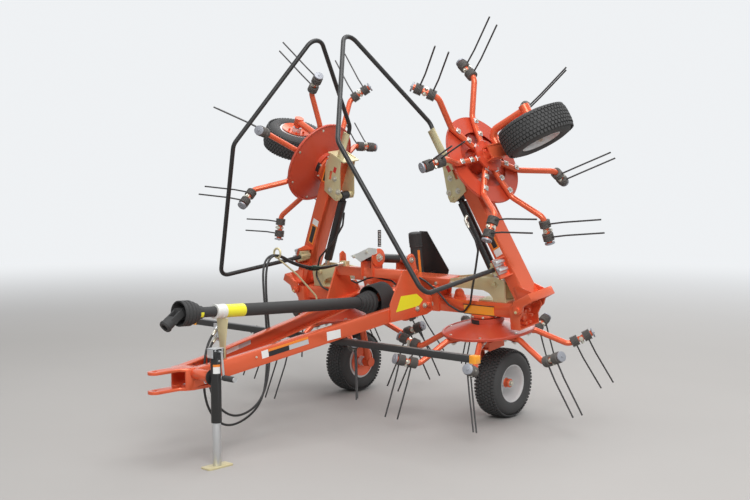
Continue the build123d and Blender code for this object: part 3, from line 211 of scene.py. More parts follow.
@dataclass(frozen=True)
class Finish:
    """A painted, plated, moulded or rubber surface."""

    name: str
    colour: Point
    roughness: float = 0.4
    metallic: float = 0.0
    coat: float = 0.0
    mottle: float = 0.06
    grain: float = 9.0
    bump: float = 0.0
    bump_grain: float = 900.0
    dust: float = 0.0

    def material(self) -> bpy.types.Material:
        """Makes the finish, unless a material of its name is already there.

        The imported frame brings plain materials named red_paint, black_paint, gold_zinc, silver_zinc,
        rim_silver, tyre_rubber, black_plastic and hose_rubber. Those are handed back as they are, so
        the values of the finishes with these names do not show.

        Returns:
            The material.
        """
        found = bpy.data.materials.get(self.name)
        if found:
            return found
        made = bpy.data.materials.new(self.name)
        net = Net(made)
        shade = net.noise(self.grain)
        dark = tuple(c * (1 - self.mottle) for c in self.colour) + (1.0,)
        light = tuple(min(1.0, c * (1 + self.mottle)) for c in self.colour) + (1.0,)
        colour = net.mix(shade, dark, light)
        if self.dust:
            cloud = net.noise(3.5, 6.0)
            colour = net.mix(cloud * self.dust, colour, DUST)
        rough = net.noise(self.grain * 3.0) * 0.08 + (self.roughness - 0.04)
        values: dict[str, object] = {
            "Base Color": colour, "Roughness": rough, "Metallic": self.metallic,
            "Coat Weight": self.coat, "Coat Roughness": 0.12,
        }
        if self.bump:
            height = net.noise(self.bump_grain, 2.0)
            values["Normal"] = net.add("ShaderNodeBump", {}, {
                "Strength": self.bump, "Distance": 0.0006, "Height": height})
        net.finish(values)
        return made


class Look(Enum):
    """The machine's finishes. Where the frame has a material of the same name, that one shows instead."""

    RED = Finish("red_paint", (0.51, 0.042, 0.013), 0.40, coat=0.12, dust=0.01)
    DISH_RED = Finish("dish_red_paint", (0.53, 0.056, 0.020), 0.37, coat=0.25, dust=0.04)
    BLACK = Finish("black_paint", (0.018, 0.018, 0.019), 0.36, coat=0.25)
    GOLD = Finish("gold_zinc", (0.60, 0.53, 0.30), 0.34, metallic=0.55, mottle=0.16, grain=14.0)
    SILVER = Finish("silver_zinc", (0.62, 0.62, 0.61), 0.33, metallic=0.85, mottle=0.10, grain=20.0)
    BOLT = Finish("bolt_zinc", (0.66, 0.64, 0.56), 0.30, metallic=0.8, mottle=0.10, grain=60.0)
    RIM = Finish("rim_silver", (0.62, 0.63, 0.64), 0.34, metallic=0.45, mottle=0.03)
    TYRE = Finish("tyre_rubber", (0.040, 0.038, 0.037), 0.72, mottle=0.15, dust=0.22, bump=0.25,
                  bump_grain=420.0)
    COIL = Finish("spring_coil", (0.085, 0.078, 0.072), 0.62, mottle=0.25, grain=60.0, dust=0.12)
    TINE = Finish("tine_steel", (0.050, 0.048, 0.048), 0.42, metallic=0.3, mottle=0.2, grain=30.0)
    CAP = Finish("arm_end_cap", (0.30, 0.31, 0.34), 0.42, metallic=0.35)
    PLASTIC = Finish("black_plastic", (0.036, 0.037, 0.040), 0.34, mottle=0.1)
    HOSE = Finish("hose_rubber", (0.020, 0.020, 0.021), 0.42, mottle=0.1)
    AMBER = Finish("amber_reflector", (0.92, 0.36, 0.014), 0.30, mottle=0.02, coat=0.4)
    YELLOW = Finish("yellow_label", (0.86, 0.80, 0.03), 0.35, mottle=0.02, coat=0.3)
    WHITE = Finish("white_label", (0.80, 0.80, 0.78), 0.4, mottle=0.02)
    COLLAR = Finish("white_collar", (0.74, 0.74, 0.70), 0.42, mottle=0.04)
    ORANGE = Finish("orange_label", (0.84, 0.24, 0.025), 0.4, mottle=0.04)
    GREY = Finish("grey_label", (0.50, 0.51, 0.52), 0.4, mottle=0.03)
    INK = Finish("black_label", (0.014, 0.014, 0.015), 0.4, mottle=0.03)
    ZINC = Finish("pale_zinc", (0.66, 0.67, 0.64), 0.38, metallic=0.35, mottle=0.08, grain=16.0)
    GREEN = Finish("green_fitting", (0.028, 0.062, 0.045), 0.35, metallic=0.5, mottle=0.1)
    LAMP_RED = Finish("red_reflector", (0.55, 0.02, 0.015), 0.25, mottle=0.02, coat=0.5)


class Place(Enum):
    """The four rotors: side of the machine, level x, turning sense and whether a wing carries it."""

    INNER_LEFT = ("inner_left", 1, 0.605, 1, False)
    INNER_RIGHT = ("inner_right", -1, 0.605, -1, False)
    OUTER_LEFT = ("outer_left", 1, 1.760, -1, True)
    OUTER_RIGHT = ("outer_right", -1, 1.760, 1, True)

    def __init__(self, label: str, side: int, x: float, spin: int, on_wing: bool) -> None:
        """Names the columns."""
        self.label = label
        self.side = side
        self.x = x
        self.spin = spin
        self.on_wing = on_wing

    @property
    def fork(self) -> int:
        """1 where the wheel's open rim faces the machine's left on the level machine."""
        return -self.side if self.on_wing else self.side


@dataclass(frozen=True)
class Stance:
    """How the machine stands: its origin, the beam's lean and the wings' fold."""

    origin: Point = (0.0, -1.936, 0.418)
    tilt: float = math.radians(7.5)
    tilt_height: float = 0.500
    fold: float = math.radians(117.0)
    hinge_x: float = 0.905
    hinge_z: float = 0.698

    def ground(self) -> Matrix:
        """Machine coordinates, with the ground at 0, to the frame's."""
        return Matrix.Translation(-Vector(self.origin))

    def beam(self) -> Matrix:
        """Level beam coordinates to the frame's."""
        up = Vector((0, 0, self.tilt_height))
        lean = Matrix.Rotation(self.tilt, 4, "X")
        return self.ground() @ Matrix.Translation(up) @ lean @ Matrix.Translation(-up)

    def wing(self, side: int) -> Matrix:
        """Level wing coordinates to the frame's.

        Args:
            side: 1 for the machine's left and -1 for its right.

        Returns:
            The matrix that folds and leans the wing.
        """
        hinge = Vector((side * self.hinge_x, 0, self.hinge_z))
        turn = Matrix.Rotation(-side * self.fold, 4, "Y")
        return self.beam() @ Matrix.Translation(hinge) @ turn @ Matrix.Translation(-hinge)

    def rotor(self, place: Place) -> Matrix:
        """Coordinates about a rotor's upright axis to the frame's."""
        base = self.wing(place.side) if place.on_wing else self.beam()
        return base @ Matrix.Translation((place.side * place.x, 0, 0))


STANCE = Stance()


@dataclass
class State:
    """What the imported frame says, once it is loaded."""

    record: dict[str, object] = field(default_factory=dict)


STATE = State()


class Shaper:
    """Makes meshes from bmesh operators."""

    def __init__(self) -> None:
        """Starts an empty mesh."""
        self.mesh: BMesh = bmesh.new()

    def join(self, other: Shaper, matrix: Matrix = Matrix.Identity(4)) -> Shaper:
        """Adds a copy of another mesh.

        Args:
            other: what is copied; it stays as it is.
            matrix: where the copy goes.

        Returns:
            This mesh.
        """
        spare = bpy.data.meshes.new("spare")
        other.mesh.to_mesh(spare)
        spare.transform(matrix)
        if matrix.determinant() < 0:
            spare.flip_normals()
        self.mesh.from_mesh(spare)
        bpy.data.meshes.remove(spare)
        return self

    def block(self, size: Point, centre: Point, bevel: float = 0.0) -> Shaper:
        """Adds a box.

        Args:
            size: its three lengths.
            centre: its middle.
            bevel: how much its edges are broken.

        Returns:
            This mesh.
        """
        matrix = Matrix.Translation(centre) @ Matrix.Diagonal((*size, 1.0))
        made = bmesh.ops.create_cube(self.mesh, size=1.0, matrix=matrix)
        if bevel:
            edges = list({e for v in made["verts"] for e in v.link_edges})
            self._break(edges, bevel)
        return self

    def _break(self, edges: list[BMEdge], width: float, segments: int = 1) -> None:
        """Bevels edges."""
        bmesh.ops.bevel(self.mesh, geom=edges, offset=width, segments=segments, profile=0.5,
                        affect="EDGES", material=-1)

    def _face_out(self, verts: Iterable[BMVert]) -> None:
        """Turns the faces at these vertices outwards."""
        faces = list({f for v in verts for f in v.link_faces})
        bmesh.ops.recalc_face_normals(self.mesh, faces=faces)

    def prism(self, outline: Sequence[Flat], low: float, high: float, bevel: float = 0.0) -> Shaper:
        """Adds a plate from an (x, z) outline that runs from low to high in y."""
        corners = [Vector((x, low, z)) for x, z in outline]
        return self._raised(corners, Vector((0, high - low, 0)), bevel)

    def patch(self, corners: Sequence[Point], out: Point, thick: float = SKIN,
              sink: float = 0.0012) -> Shaper:
        """Adds a thin flat plate that lies on a face.

        Args:
            corners: its corners on the face, in order.
            out: which way the face looks.
            thick: how far it stands out.
            sink: how far its back lies under the face.

        Returns:
            This mesh.
        """
        way, first = Vector(out).normalized(), Vector(corners[0])
        flat = [Vector(c) - way * ((Vector(c) - first).dot(way) + sink) for c in corners]
        return self._raised(flat, way * (thick + sink))

    def _raised(self, outline: Sequence[Vector], way: Vector, bevel: float = 0.0) -> Shaper:
        """Adds a flat outline drawn out along a way.

        Args:
            outline: its corners, in order.
            way: how far and which way it is drawn.
            bevel: how much its edges are broken.

        Returns:
            This mesh.
        """
        corners = [self.mesh.verts.new(spot) for spot in outline]
        face = self.mesh.faces.new(corners)
        made = bmesh.ops.extrude_face_region(self.mesh, geom=[face])
        moved = [v for v in made["geom"] if isinstance(v, BMVert)]
        bmesh.ops.translate(self.mesh, verts=moved, vec=way)
        every = corners + moved
        edges = list({e for v in every for e in v.link_edges})
        self._face_out(every)
        if bevel:
            self._break(edges, bevel)
        return self

    def cylinder(self, start: Vector, end: Vector, radius: float, sides: int = 24,
                 bevel: float = 0.0) -> Shaper:
        """Adds a round bar.

        Args:
            start: middle of its first end.
            end: middle of its other end.
            radius: its radius.
            sides: its number of sides.
            bevel: how much the rims are broken.

        Returns:
            This mesh.
        """
        start, end = Vector(start), Vector(end)
        run = end - start
        matrix = Matrix.Translation((start + end) / 2) @ run.to_track_quat("Z", "Y").to_matrix().to_4x4()
        made = bmesh.ops.create_cone(
            self.mesh, cap_ends=True, cap_tris=False, segments=sides, radius1=radius,
            radius2=radius, depth=run.length, matrix=matrix)
        if bevel:
            caps = {f for v in made["verts"] for f in v.link_faces if len(f.verts) == sides}
            edges = list({e for f in caps for e in f.edges})
            self._break(edges, bevel, 2)
        return self

    def spun(self, profile: Sequence[Flat], sides: int = 48, closed: bool = True,
             matrix: Matrix = Matrix.Identity(4)) -> Shaper:
        """Adds a turned piece about Z from (radius, height) points.

        Args:
            profile: the half section's points.
            sides: how many steps go round.
            closed: whether the last point joins the first.
            matrix: where the piece goes.

        Returns:
            This mesh.
        """
        points = [self.mesh.verts.new((r, 0, h)) for r, h in profile]
        pairs = list(zip(points, points[1:] + points[:1] if closed else points[1:]))
        edges = [self.mesh.edges.new(pair) for pair in pairs]
        bmesh.ops.spin(self.mesh, geom=points + edges, cent=(0, 0, 0), axis=(0, 0, 1), dvec=(0, 0, 0),
                       angle=math.tau, steps=sides, use_merge=True, use_duplicate=False)
        fresh = self._reached(points[0])
        bmesh.ops.remove_doubles(self.mesh, verts=fresh, dist=1e-6)
        fresh = [v for v in fresh if v.is_valid]
        self._face_out(fresh)
        bmesh.ops.transform(self.mesh, matrix=matrix, verts=fresh)
        return self

    def wrap(self, radius: float, span: Flat, low: float, high: float,
             matrix: Matrix = Matrix.Identity(4), thick: float = SKIN) -> Shaper:
        """Adds a thin plate bent round Z.

        Args:
            radius: of the round face that it lies on.
            span: where it starts and ends, in degrees from X.
            low: its lower edge.
            high: its upper edge.
            matrix: where the plate goes.
            thick: how far it stands out.

        Returns:
            This mesh.
        """
        start, end = (math.radians(angle) for angle in span)
        turn = Matrix.Rotation(start, 3, "Z")
        under, over = radius - 0.001, radius + thick
        corners = [(under, low), (over, low), (over, high), (under, high)]
        verts = [self.mesh.verts.new(turn @ Vector((r, 0, h))) for r, h in corners]
        edges = [self.mesh.edges.new(pair) for pair in zip(verts, verts[1:] + verts[:1])]
        last = bmesh.ops.spin(self.mesh, geom=verts + edges, cent=(0, 0, 0), axis=(0, 0, 1), dvec=(0, 0, 0),
                              angle=end - start, steps=10, use_merge=False, use_duplicate=False)["geom_last"]
        for ring in (edges, self._between([v for v in last if isinstance(v, BMVert)])):
            bmesh.ops.contextual_create(self.mesh, geom=ring)
        fresh = self._reached(verts[0])
        self._face_out(fresh)
        bmesh.ops.transform(self.mesh, matrix=matrix, verts=fresh)
        return self

    def ring(self, radius: float, wire: float, matrix: Matrix = Matrix.Identity(4), sides: int = 40,
             grain: int = 10) -> Shaper:
        """Adds a round ring of wire about Z.

        Args:
            radius: to the wire's middle.
            wire: the wire's radius.
            matrix: where the ring goes.
            sides: steps round the ring.
            grain: steps round the wire.

        Returns:
            This mesh.
        """
        profile = [(radius + wire * math.cos(k * math.tau / grain), wire * math.sin(k * math.tau / grain))
                   for k in range(grain)]
        return self.spun(profile, sides, matrix=matrix)

    def chain(self, points: Sequence[Point], wire: float = 0.0019, pitch: float = 0.0135) -> Shaper:
        """Adds a chain of oval links along straight runs, each a quarter turn from the last.

        Args:
            points: the runs' ends.
            wire: the links' wire radius.
            pitch: from link to link.

        Returns:
            This mesh.
        """
        oval = Shaper().ring(0.0052, wire, Matrix.Diagonal((1.75, 1, 1, 1)), 8, 5)
        count = 0
        for start, end in zip(points, points[1:]):
            run = Vector(end) - Vector(start)
            turn = run.to_track_quat("X", "Z").to_matrix().to_4x4()
            for k in range(max(1, round(run.length / pitch))):
                spot = Vector(start) + run.normalized() * pitch * (k + 0.5)
                quarter = Matrix.Rotation(count % 2 * math.pi / 2, 4, "X")
                self.join(oval, Matrix.Translation(spot) @ turn @ quarter)
                count += 1
        oval.mesh.free()
        return self

    @staticmethod
    def _reached(seed: BMVert) -> list[BMVert]:
        """Every vertex joined to one by edges."""
        seen, heap = {seed}, [seed]
        while heap:
            vert = heap.pop()
            for edge in vert.link_edges:
                other = edge.other_vert(vert)
                if other not in seen:
                    seen.add(other)
                    heap.append(other)
        return list(seen)

    def pipe(self, points: Sequence[Point | Vector], radius: float, bend: float = 0.0, sides: int = 14,
             steps: int = 6) -> Shaper:
        """Adds a bent bar, as a pipe bender makes it: straight runs and round bends.

        Args:
            points: its ends and corners.
            radius: the bar's radius.
            bend: the bends' radius on the bar's middle line.
            sides: the section's number of sides.
            steps: how many steps a bend has.

        Returns:
            This mesh.
        """
        spots = [Vector(p) for p in points]
        ways = [(b - a).normalized() for a, b in zip(spots, spots[1:])]
        cuts = [0.0]
        for one, two in zip(ways, ways[1:]):
            cuts.append(bend * math.tan(one.angle(two) / 2))
        cuts.append(0.0)
        turn = ways[0].to_track_quat("Z", "Y").to_matrix().to_4x4()
        made = bmesh.ops.create_circle(self.mesh, cap_ends=True, radius=radius, segments=sides,
                                       matrix=Matrix.Translation(spots[0]) @ turn)
        first = made["verts"][0]
        edges = list({e for v in made["verts"] for e in v.link_edges})
        for k, way in enumerate(ways):
            length = (spots[k + 1] - spots[k]).length - cuts[k] - cuts[k + 1]
            if length > 1e-6:
                grown = bmesh.ops.extrude_edge_only(self.mesh, edges=edges)["geom"]
                verts = [v for v in grown if isinstance(v, BMVert)]
                bmesh.ops.translate(self.mesh, verts=verts, vec=way * length)
                edges = self._between(verts)
            if k + 1 < len(ways) and bend:
                angle = way.angle(ways[k + 1])
                axis = way.cross(ways[k + 1]).normalized()
                centre = spots[k + 1] - way * cuts[k + 1] + axis.cross(way) * bend
                verts = list({v for e in edges for v in e.verts})
                last = bmesh.ops.spin(
                    self.mesh, geom=verts + edges, cent=centre, axis=axis, dvec=(0, 0, 0), angle=angle,
                    steps=steps, use_merge=False, use_duplicate=False)["geom_last"]
                edges = self._between([v for v in last if isinstance(v, BMVert)])
        bmesh.ops.contextual_create(self.mesh, geom=edges)
        self._face_out(self._reached(first))
        return self

    @staticmethod
    def _between(verts: Iterable[BMVert]) -> list[BMEdge]:
        """The edges that join some of these vertices to each other."""
        chosen = set(verts)
        return list({e for v in chosen for e in v.link_edges if e.other_vert(v) in chosen})

    def hexagon(self, centre: Vector, way: Vector, across: float, height: float,
                washer: float = 0.0) -> Shaper:
        """Adds a bolt head or nut, on a washer if it has one.

        Args:
            centre: middle of the face that it sits on.
            way: which way it stands up.
            across: its width across the corners.
            height: how far it stands up.
            washer: the washer's radius, or 0.

        Returns:
            This mesh.
        """
        base, way = Vector(centre), Vector(way).normalized()
        if washer:
            self.cylinder(base - way * 0.001, base + way * 0.0025, washer, 18)
            base += way * 0.0025
        self.cylinder(base - way * 0.001, base + way * height, across / 2, 6)
        self.cylinder(base + way * height, base + way * (height + 0.0035), across * 0.24, 10)
        return self

    def piece(self, name: str, look: Look, body: str | None, matrix: Matrix = Matrix.Identity(4),
              smooth: float = 35.0) -> bpy.types.Object:
        """Hands the mesh over as a finished piece.

        Args:
            name: the piece's name.
            look: its finish.
            body: the CAD body that it rides on, or None, which leaves it on no body.
            matrix: where the mesh goes in the frame.
            smooth: edges sharper than this many degrees stay hard.

        Returns:
            The object.
        """
        data = bpy.data.meshes.new(name)
        self.mesh.to_mesh(data)
        self.mesh.free()
        data.transform(matrix)
        if matrix.determinant() < 0:
            data.flip_normals()
        data.shade_smooth()
        data.set_sharp_from_angle(angle=math.radians(smooth))
        made = link(name, data)
        data.materials.append(look.value.material())
        if body:
            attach(made, body)
        LOG.info("%s: %d faces on %s", name, len(data.polygons), body or "two bodies")
        return made


@dataclass
class PhotoCamera:
    """The camera, where it stood for the photograph."""

    spot: Point = (4.4726, -3.2188, 1.0160)
    heading: float = 0.747
    pitch: float = 0.067
    roll: float = 0.005
    focal_pixels: float = 1101.3
    width_pixels: float = 750.0
    sensor: float = 36.0

    def build(self) -> bpy.types.Object:
        """Makes the scene's camera.

        Returns:
            The camera.
        """
        data = bpy.data.cameras.new("camera")
        data.sensor_width = self.sensor
        data.lens = self.focal_pixels / self.width_pixels * self.sensor
        data.clip_end = 400.0
        camera = link("camera", data)
        turn = (Matrix.Rotation(self.heading, 4, "Z") @ Matrix.Rotation(math.pi / 2 - self.pitch, 4, "X")
                @ Matrix.Rotation(-self.roll, 4, "Z"))
        camera.matrix_world = Matrix.Translation(self.spot) @ turn
        bpy.context.scene.camera = camera
        return camera


@dataclass
class Hoses:
    """The two hydraulic hoses: from the block on the crossbar through the hook's ring to their couplers."""

    radius: float = 0.0065
    crimp_radius: float = 0.0092
    crimp_length: float = 0.036
    joint_y: Flat = (-0.648, -0.588)
    one: tuple[Point, ...] = (
        (-0.204, -0.386, 0.905), (-0.207, -0.505, 0.893), (-0.216, -0.645, 0.894), (-0.234, -0.778, 0.932),
        (-0.248, -0.880, 0.988), (-0.250, -0.945, 0.970), (-0.250, -0.972, 0.905), (-0.243, -0.982, 0.790),
        (-0.225, -0.984, 0.630), (-0.200, -0.990, 0.480), (-0.174, -1.026, 0.352), (-0.142, -1.080, 0.250),
        (-0.110, -1.160, 0.182), (-0.082, -1.265, 0.148), (-0.060, -1.375, 0.146), (-0.044, -1.470, 0.190),
        (-0.034, -1.535, 0.262), (-0.030, -1.572, 0.350), (-0.030, -1.576, 0.440), (-0.034, -1.566, 0.520),
        (-0.042, -1.541, 0.567), (-0.051, -1.505, 0.589))
    two: tuple[Point, ...] = (
        (-0.222, -0.386, 0.905), (-0.224, -0.500, 0.884), (-0.232, -0.640, 0.884), (-0.250, -0.775, 0.926),
        (-0.264, -0.880, 0.988), (-0.268, -0.950, 0.972), (-0.262, -0.986, 0.908), (-0.248, -0.996, 0.795),
        (-0.229, -0.998, 0.640), (-0.208, -1.004, 0.480), (-0.190, -1.030, 0.345), (-0.155, -1.078, 0.230),
        (-0.120, -1.160, 0.155), (-0.092, -1.270, 0.112), (-0.066, -1.395, 0.098), (-0.048, -1.490, 0.130),
        (-0.036, -1.565, 0.205), (-0.032, -1.602, 0.300), (-0.032, -1.606, 0.420), (-0.035, -1.587, 0.530),
        (-0.044, -1.547, 0.596), (-0.051, -1.505, 0.630))
    one_length: float = 2.22
    two_length: float = 2.39

    def build(self) -> None:
        """Makes both hoses with their crimped ends and green joints."""
        for label, route, length in (("one", self.one, self.one_length), ("two", self.two, self.two_length)):
            hose = self._curve(f"hose_{label}", route, self.radius)
            hose.data.materials.append(Look.HOSE.value.material())
            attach(hose, "drawbar")
            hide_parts(f"hydraulic_hose_{label}")
            line = self._line(route)
            ends = Shaper()
            for run in (line, line[::-1]):
                reach = self._upto(run, self.crimp_length)
                ends.cylinder(run[0], run[reach], self.crimp_radius, 20, bevel=0.0012)
            crimps = ends.piece(f"hose_{label}_crimps", Look.BOLT, "drawbar")
            spots = [p for p in line if self.joint_y[0] < p.y + STANCE.origin[1] < self.joint_y[1]]
            joint = Shaper().cylinder(spots[0], spots[-1], 0.0125, 6).cylinder(
                spots[0].lerp(spots[-1], -0.45), spots[0].lerp(spots[-1], 1.45), 0.0088, 16)
            green = joint.piece(f"hose_{label}_joint", Look.GREEN, "drawbar")
            start = STANCE.ground() @ Vector(route[0])
            2 * self.radius
            LOG.info("hose_%s: %d control points", label, len(route))

    def _curve(self, name: str, route: Sequence[Point], radius: float) -> bpy.types.Object:
        """One smooth hose through the frame.

        Args:
            name: its name.
            route: its control points on the machine.
            radius: its radius, or 0 for its bare middle line.

        Returns:
            The curve.
        """
        data = bpy.data.curves.new(name, "CURVE")
        data.dimensions = "3D"
        data.bevel_depth = radius
        data.bevel_resolution = 3
        data.resolution_u = 8
        data.use_fill_caps = True
        spline = data.splines.new("NURBS")
        spline.points.add(len(route) - 1)
        for point, spot in zip(spline.points, route):
            point.co = (*(STANCE.ground() @ Vector(spot)), 1.0)
        spline.order_u = 3
        spline.use_endpoint_u = True
        return link(name, data)

    def _line(self, route: Sequence[Point]) -> list[Vector]:
        """Points along a route's own smooth line."""
        bare = self._curve("bare_line", route, 0.0)
        bpy.context.view_layer.update()
        mesh = bpy.data.meshes.new_from_object(bare)
        spots = [v.co.copy() for v in mesh.vertices]
        bpy.data.meshes.remove(mesh)
        bpy.data.objects.remove(bare)
        return spots

    @staticmethod
    def _upto(line: Sequence[Vector], length: float) -> int:
        """The index of the first point that lies this far along a line."""
        gone = 0.0
        for k, (a, b) in enumerate(zip(line, line[1:])):
            gone += (b - a).length
            if gone >= length:
                return k + 1
        return len(line) - 1


@dataclass
class Studio:
    """Pale floor, pale surroundings and soft lamps."""

    ground: float = -0.418
    floor_size: float = 160.0
    floor_colour: Point = (0.39, 0.375, 0.36)
    fade: Flat = (4.0, 14.0)
    sky: Point = (0.93, 0.95, 0.97)
    sky_seen: float = 0.93
    sky_light: float = 0.40

    def build(self) -> None:
        """Makes the floor, the world and the lamps."""
        scene = bpy.context.scene
        scene.view_settings.view_transform = "Standard"
        self._floor()
        self._world(scene)
        self._lamp("key_lamp", (7.0, -4.0, 6.0), 600.0, 5.0)
        self._lamp("top_lamp", (1.5, 1.5, 9.0), 640.0, 7.0)
        self._lamp("rear_lamp", (-2.0, 9.0, 6.0), 240.0, 6.0)

    def _floor(self) -> None:
        """The pale floor that keeps the machine's shadow and fades into the surroundings."""
        shape = Shaper()
        half = self.floor_size / 2
        bmesh.ops.create_grid(shape.mesh, x_segments=1, y_segments=1, size=half,
                              matrix=Matrix.Translation((0, 1.0, self.ground)))
        data = bpy.data.meshes.new("floor")
        shape.mesh.to_mesh(data)
        shape.mesh.free()
        floor = link("floor", data)
        data.materials.append(self._floor_material())
        floor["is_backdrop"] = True

    def _floor_material(self) -> bpy.types.Material:
        """Pale concrete that turns to the colour of the surroundings far from the machine.

        Returns:
            The material.
        """
        made = bpy.data.materials.new("floor")
        net = Net(made)
        near, far = (tuple(c * share for c in self.floor_colour) + (1.0,) for share in (0.94, 1.05))
        colour = net.mix(net.noise(0.6, 5.0), near, far)
        concrete = net.add("ShaderNodeBsdfPrincipled", {}, {"Base Color": colour, "Roughness": 0.8}, "BSDF")
        glow = net.add("ShaderNodeEmission", {}, {"Color": (*self.sky, 1.0), "Strength": self.sky_seen})
        place = net.add("ShaderNodeVectorMath", {"operation": "LENGTH"}, {0: net.place()}, "Value")
        start, end = self.fade
        share = net.add("ShaderNodeMapRange", {"interpolation_type": "SMOOTHSTEP"},
                        {"Value": place, "From Min": start, "From Max": end})
        seen = net.add("ShaderNodeLightPath", output="Is Camera Ray")
        net.add_output(net.add("ShaderNodeMixShader", {}, {0: share * seen, 1: concrete, 2: glow}))
        return made

    def _world(self, scene: bpy.types.Scene) -> None:
        """A pale sky that is seen brighter than it lights."""
        world = bpy.data.worlds.new("surroundings")
        scene.world = world
        net = Net(world)
        colour = (*self.sky, 1.0)
        straight = net.add("ShaderNodeLightPath", output="Is Camera Ray")
        mirrored = net.add("ShaderNodeLightPath", output="Is Glossy Ray")
        seen = net.add("ShaderNodeBackground", {}, {"Color": colour, "Strength": self.sky_seen})
        light = net.add("ShaderNodeBackground", {}, {"Color": colour, "Strength": self.sky_light})
        mixed = net.add("ShaderNodeMixShader", {}, {0: straight.largest(mirrored), 1: light, 2: seen})
        net.add_output(mixed, "ShaderNodeOutputWorld")

    def _lamp(self, name: str, spot: Point, power: float, size: float) -> None:
        """One soft square lamp that faces the machine.

        Args:
            name: its name.
            spot: where it stands.
            power: its watts.
            size: its side.
        """
        data = bpy.data.lights.new(name, "AREA")
        data.energy = power
        data.size = size
        lamp = link(name, data)
        aim = Vector((0.0, 1.6, 0.4)) - Vector(spot)
        lamp.location = spot
        lamp.rotation_euler = aim.to_track_quat("-Z", "Y").to_euler()


@dataclass
class CadDresser:
    """Finishes and broken edges for the CAD nodes that show: each row's look, bevel and node names."""

    nodes: dict[str, bpy.types.Object]
    rows: tuple[tuple[Look, float, str], ...] = (
        (Look.RED, 0.0, "rotor_arms wheel_leg"), (Look.RED, 0.0018, "headstock beam_tower"),
        (Look.RED, 0.0025, "drawbar beam wing"), (Look.RED, 0.003, "crossbar"),
        (Look.RED, 0.006, "centre_gearbox"), (Look.DISH_RED, 0.0, "rotor_dish"),
        (Look.BLACK, 0.0, "tilt_barrel guard_hoop fold_barrel sign_plate"),
        (Look.BLACK, 0.003, "marker_bar"), (Look.BLACK, 0.004, "jack_tube"),
        (Look.SILVER, 0.0, "jack_crank tilt_rod fold_rod hose_couplers"), (Look.SILVER, 0.003, "jack_inner"),
        (Look.GOLD, 0.0, "hose_hook"), (Look.GOLD, 0.001, "jack_foot driveline_rest"),
        (Look.GOLD, 0.0015, "gold_plates fold_plates"), (Look.AMBER, 0.003, "marker_tips"),
        (Look.PLASTIC, 0.0, "driveline pto_yoke document_tube"), (Look.TYRE, 0.0, "tyre"),
        (Look.RIM, 0.0, "rim"), (Look.HOSE, 0.0, "hydraulic_hose"))

    def _pick(self, node: str) -> tuple[Look, float]:
        """The finish and bevel of the longest name that starts the node's name."""
        table = {name: (look, bevel) for look, bevel, names in self.rows for name in names.split()}
        return table[max((name for name in table if node.startswith(name)), key=len)]

    def build(self) -> None:
        """Dresses every node."""
        for name, node in self.nodes.items():
            look, bevel = self._pick(name)
            node.data.materials.clear()
            node.data.materials.append(look.value.material())
            node.data.shade_smooth()
            weld = node.modifiers.new("weld", "WELD")
            weld.merge_threshold = 1e-5
            if bevel:
                edge = node.modifiers.new("edge", "BEVEL")
                edge.width = bevel
                edge.segments = 2
                edge.limit_method = "ANGLE"
                edge.angle_limit = math.radians(50)
                edge.harden_normals = True
            else:
                split = node.modifiers.new("split", "EDGE_SPLIT")
                split.split_angle = math.radians(32)
            LOG.info("%s in %s", name, look.name)


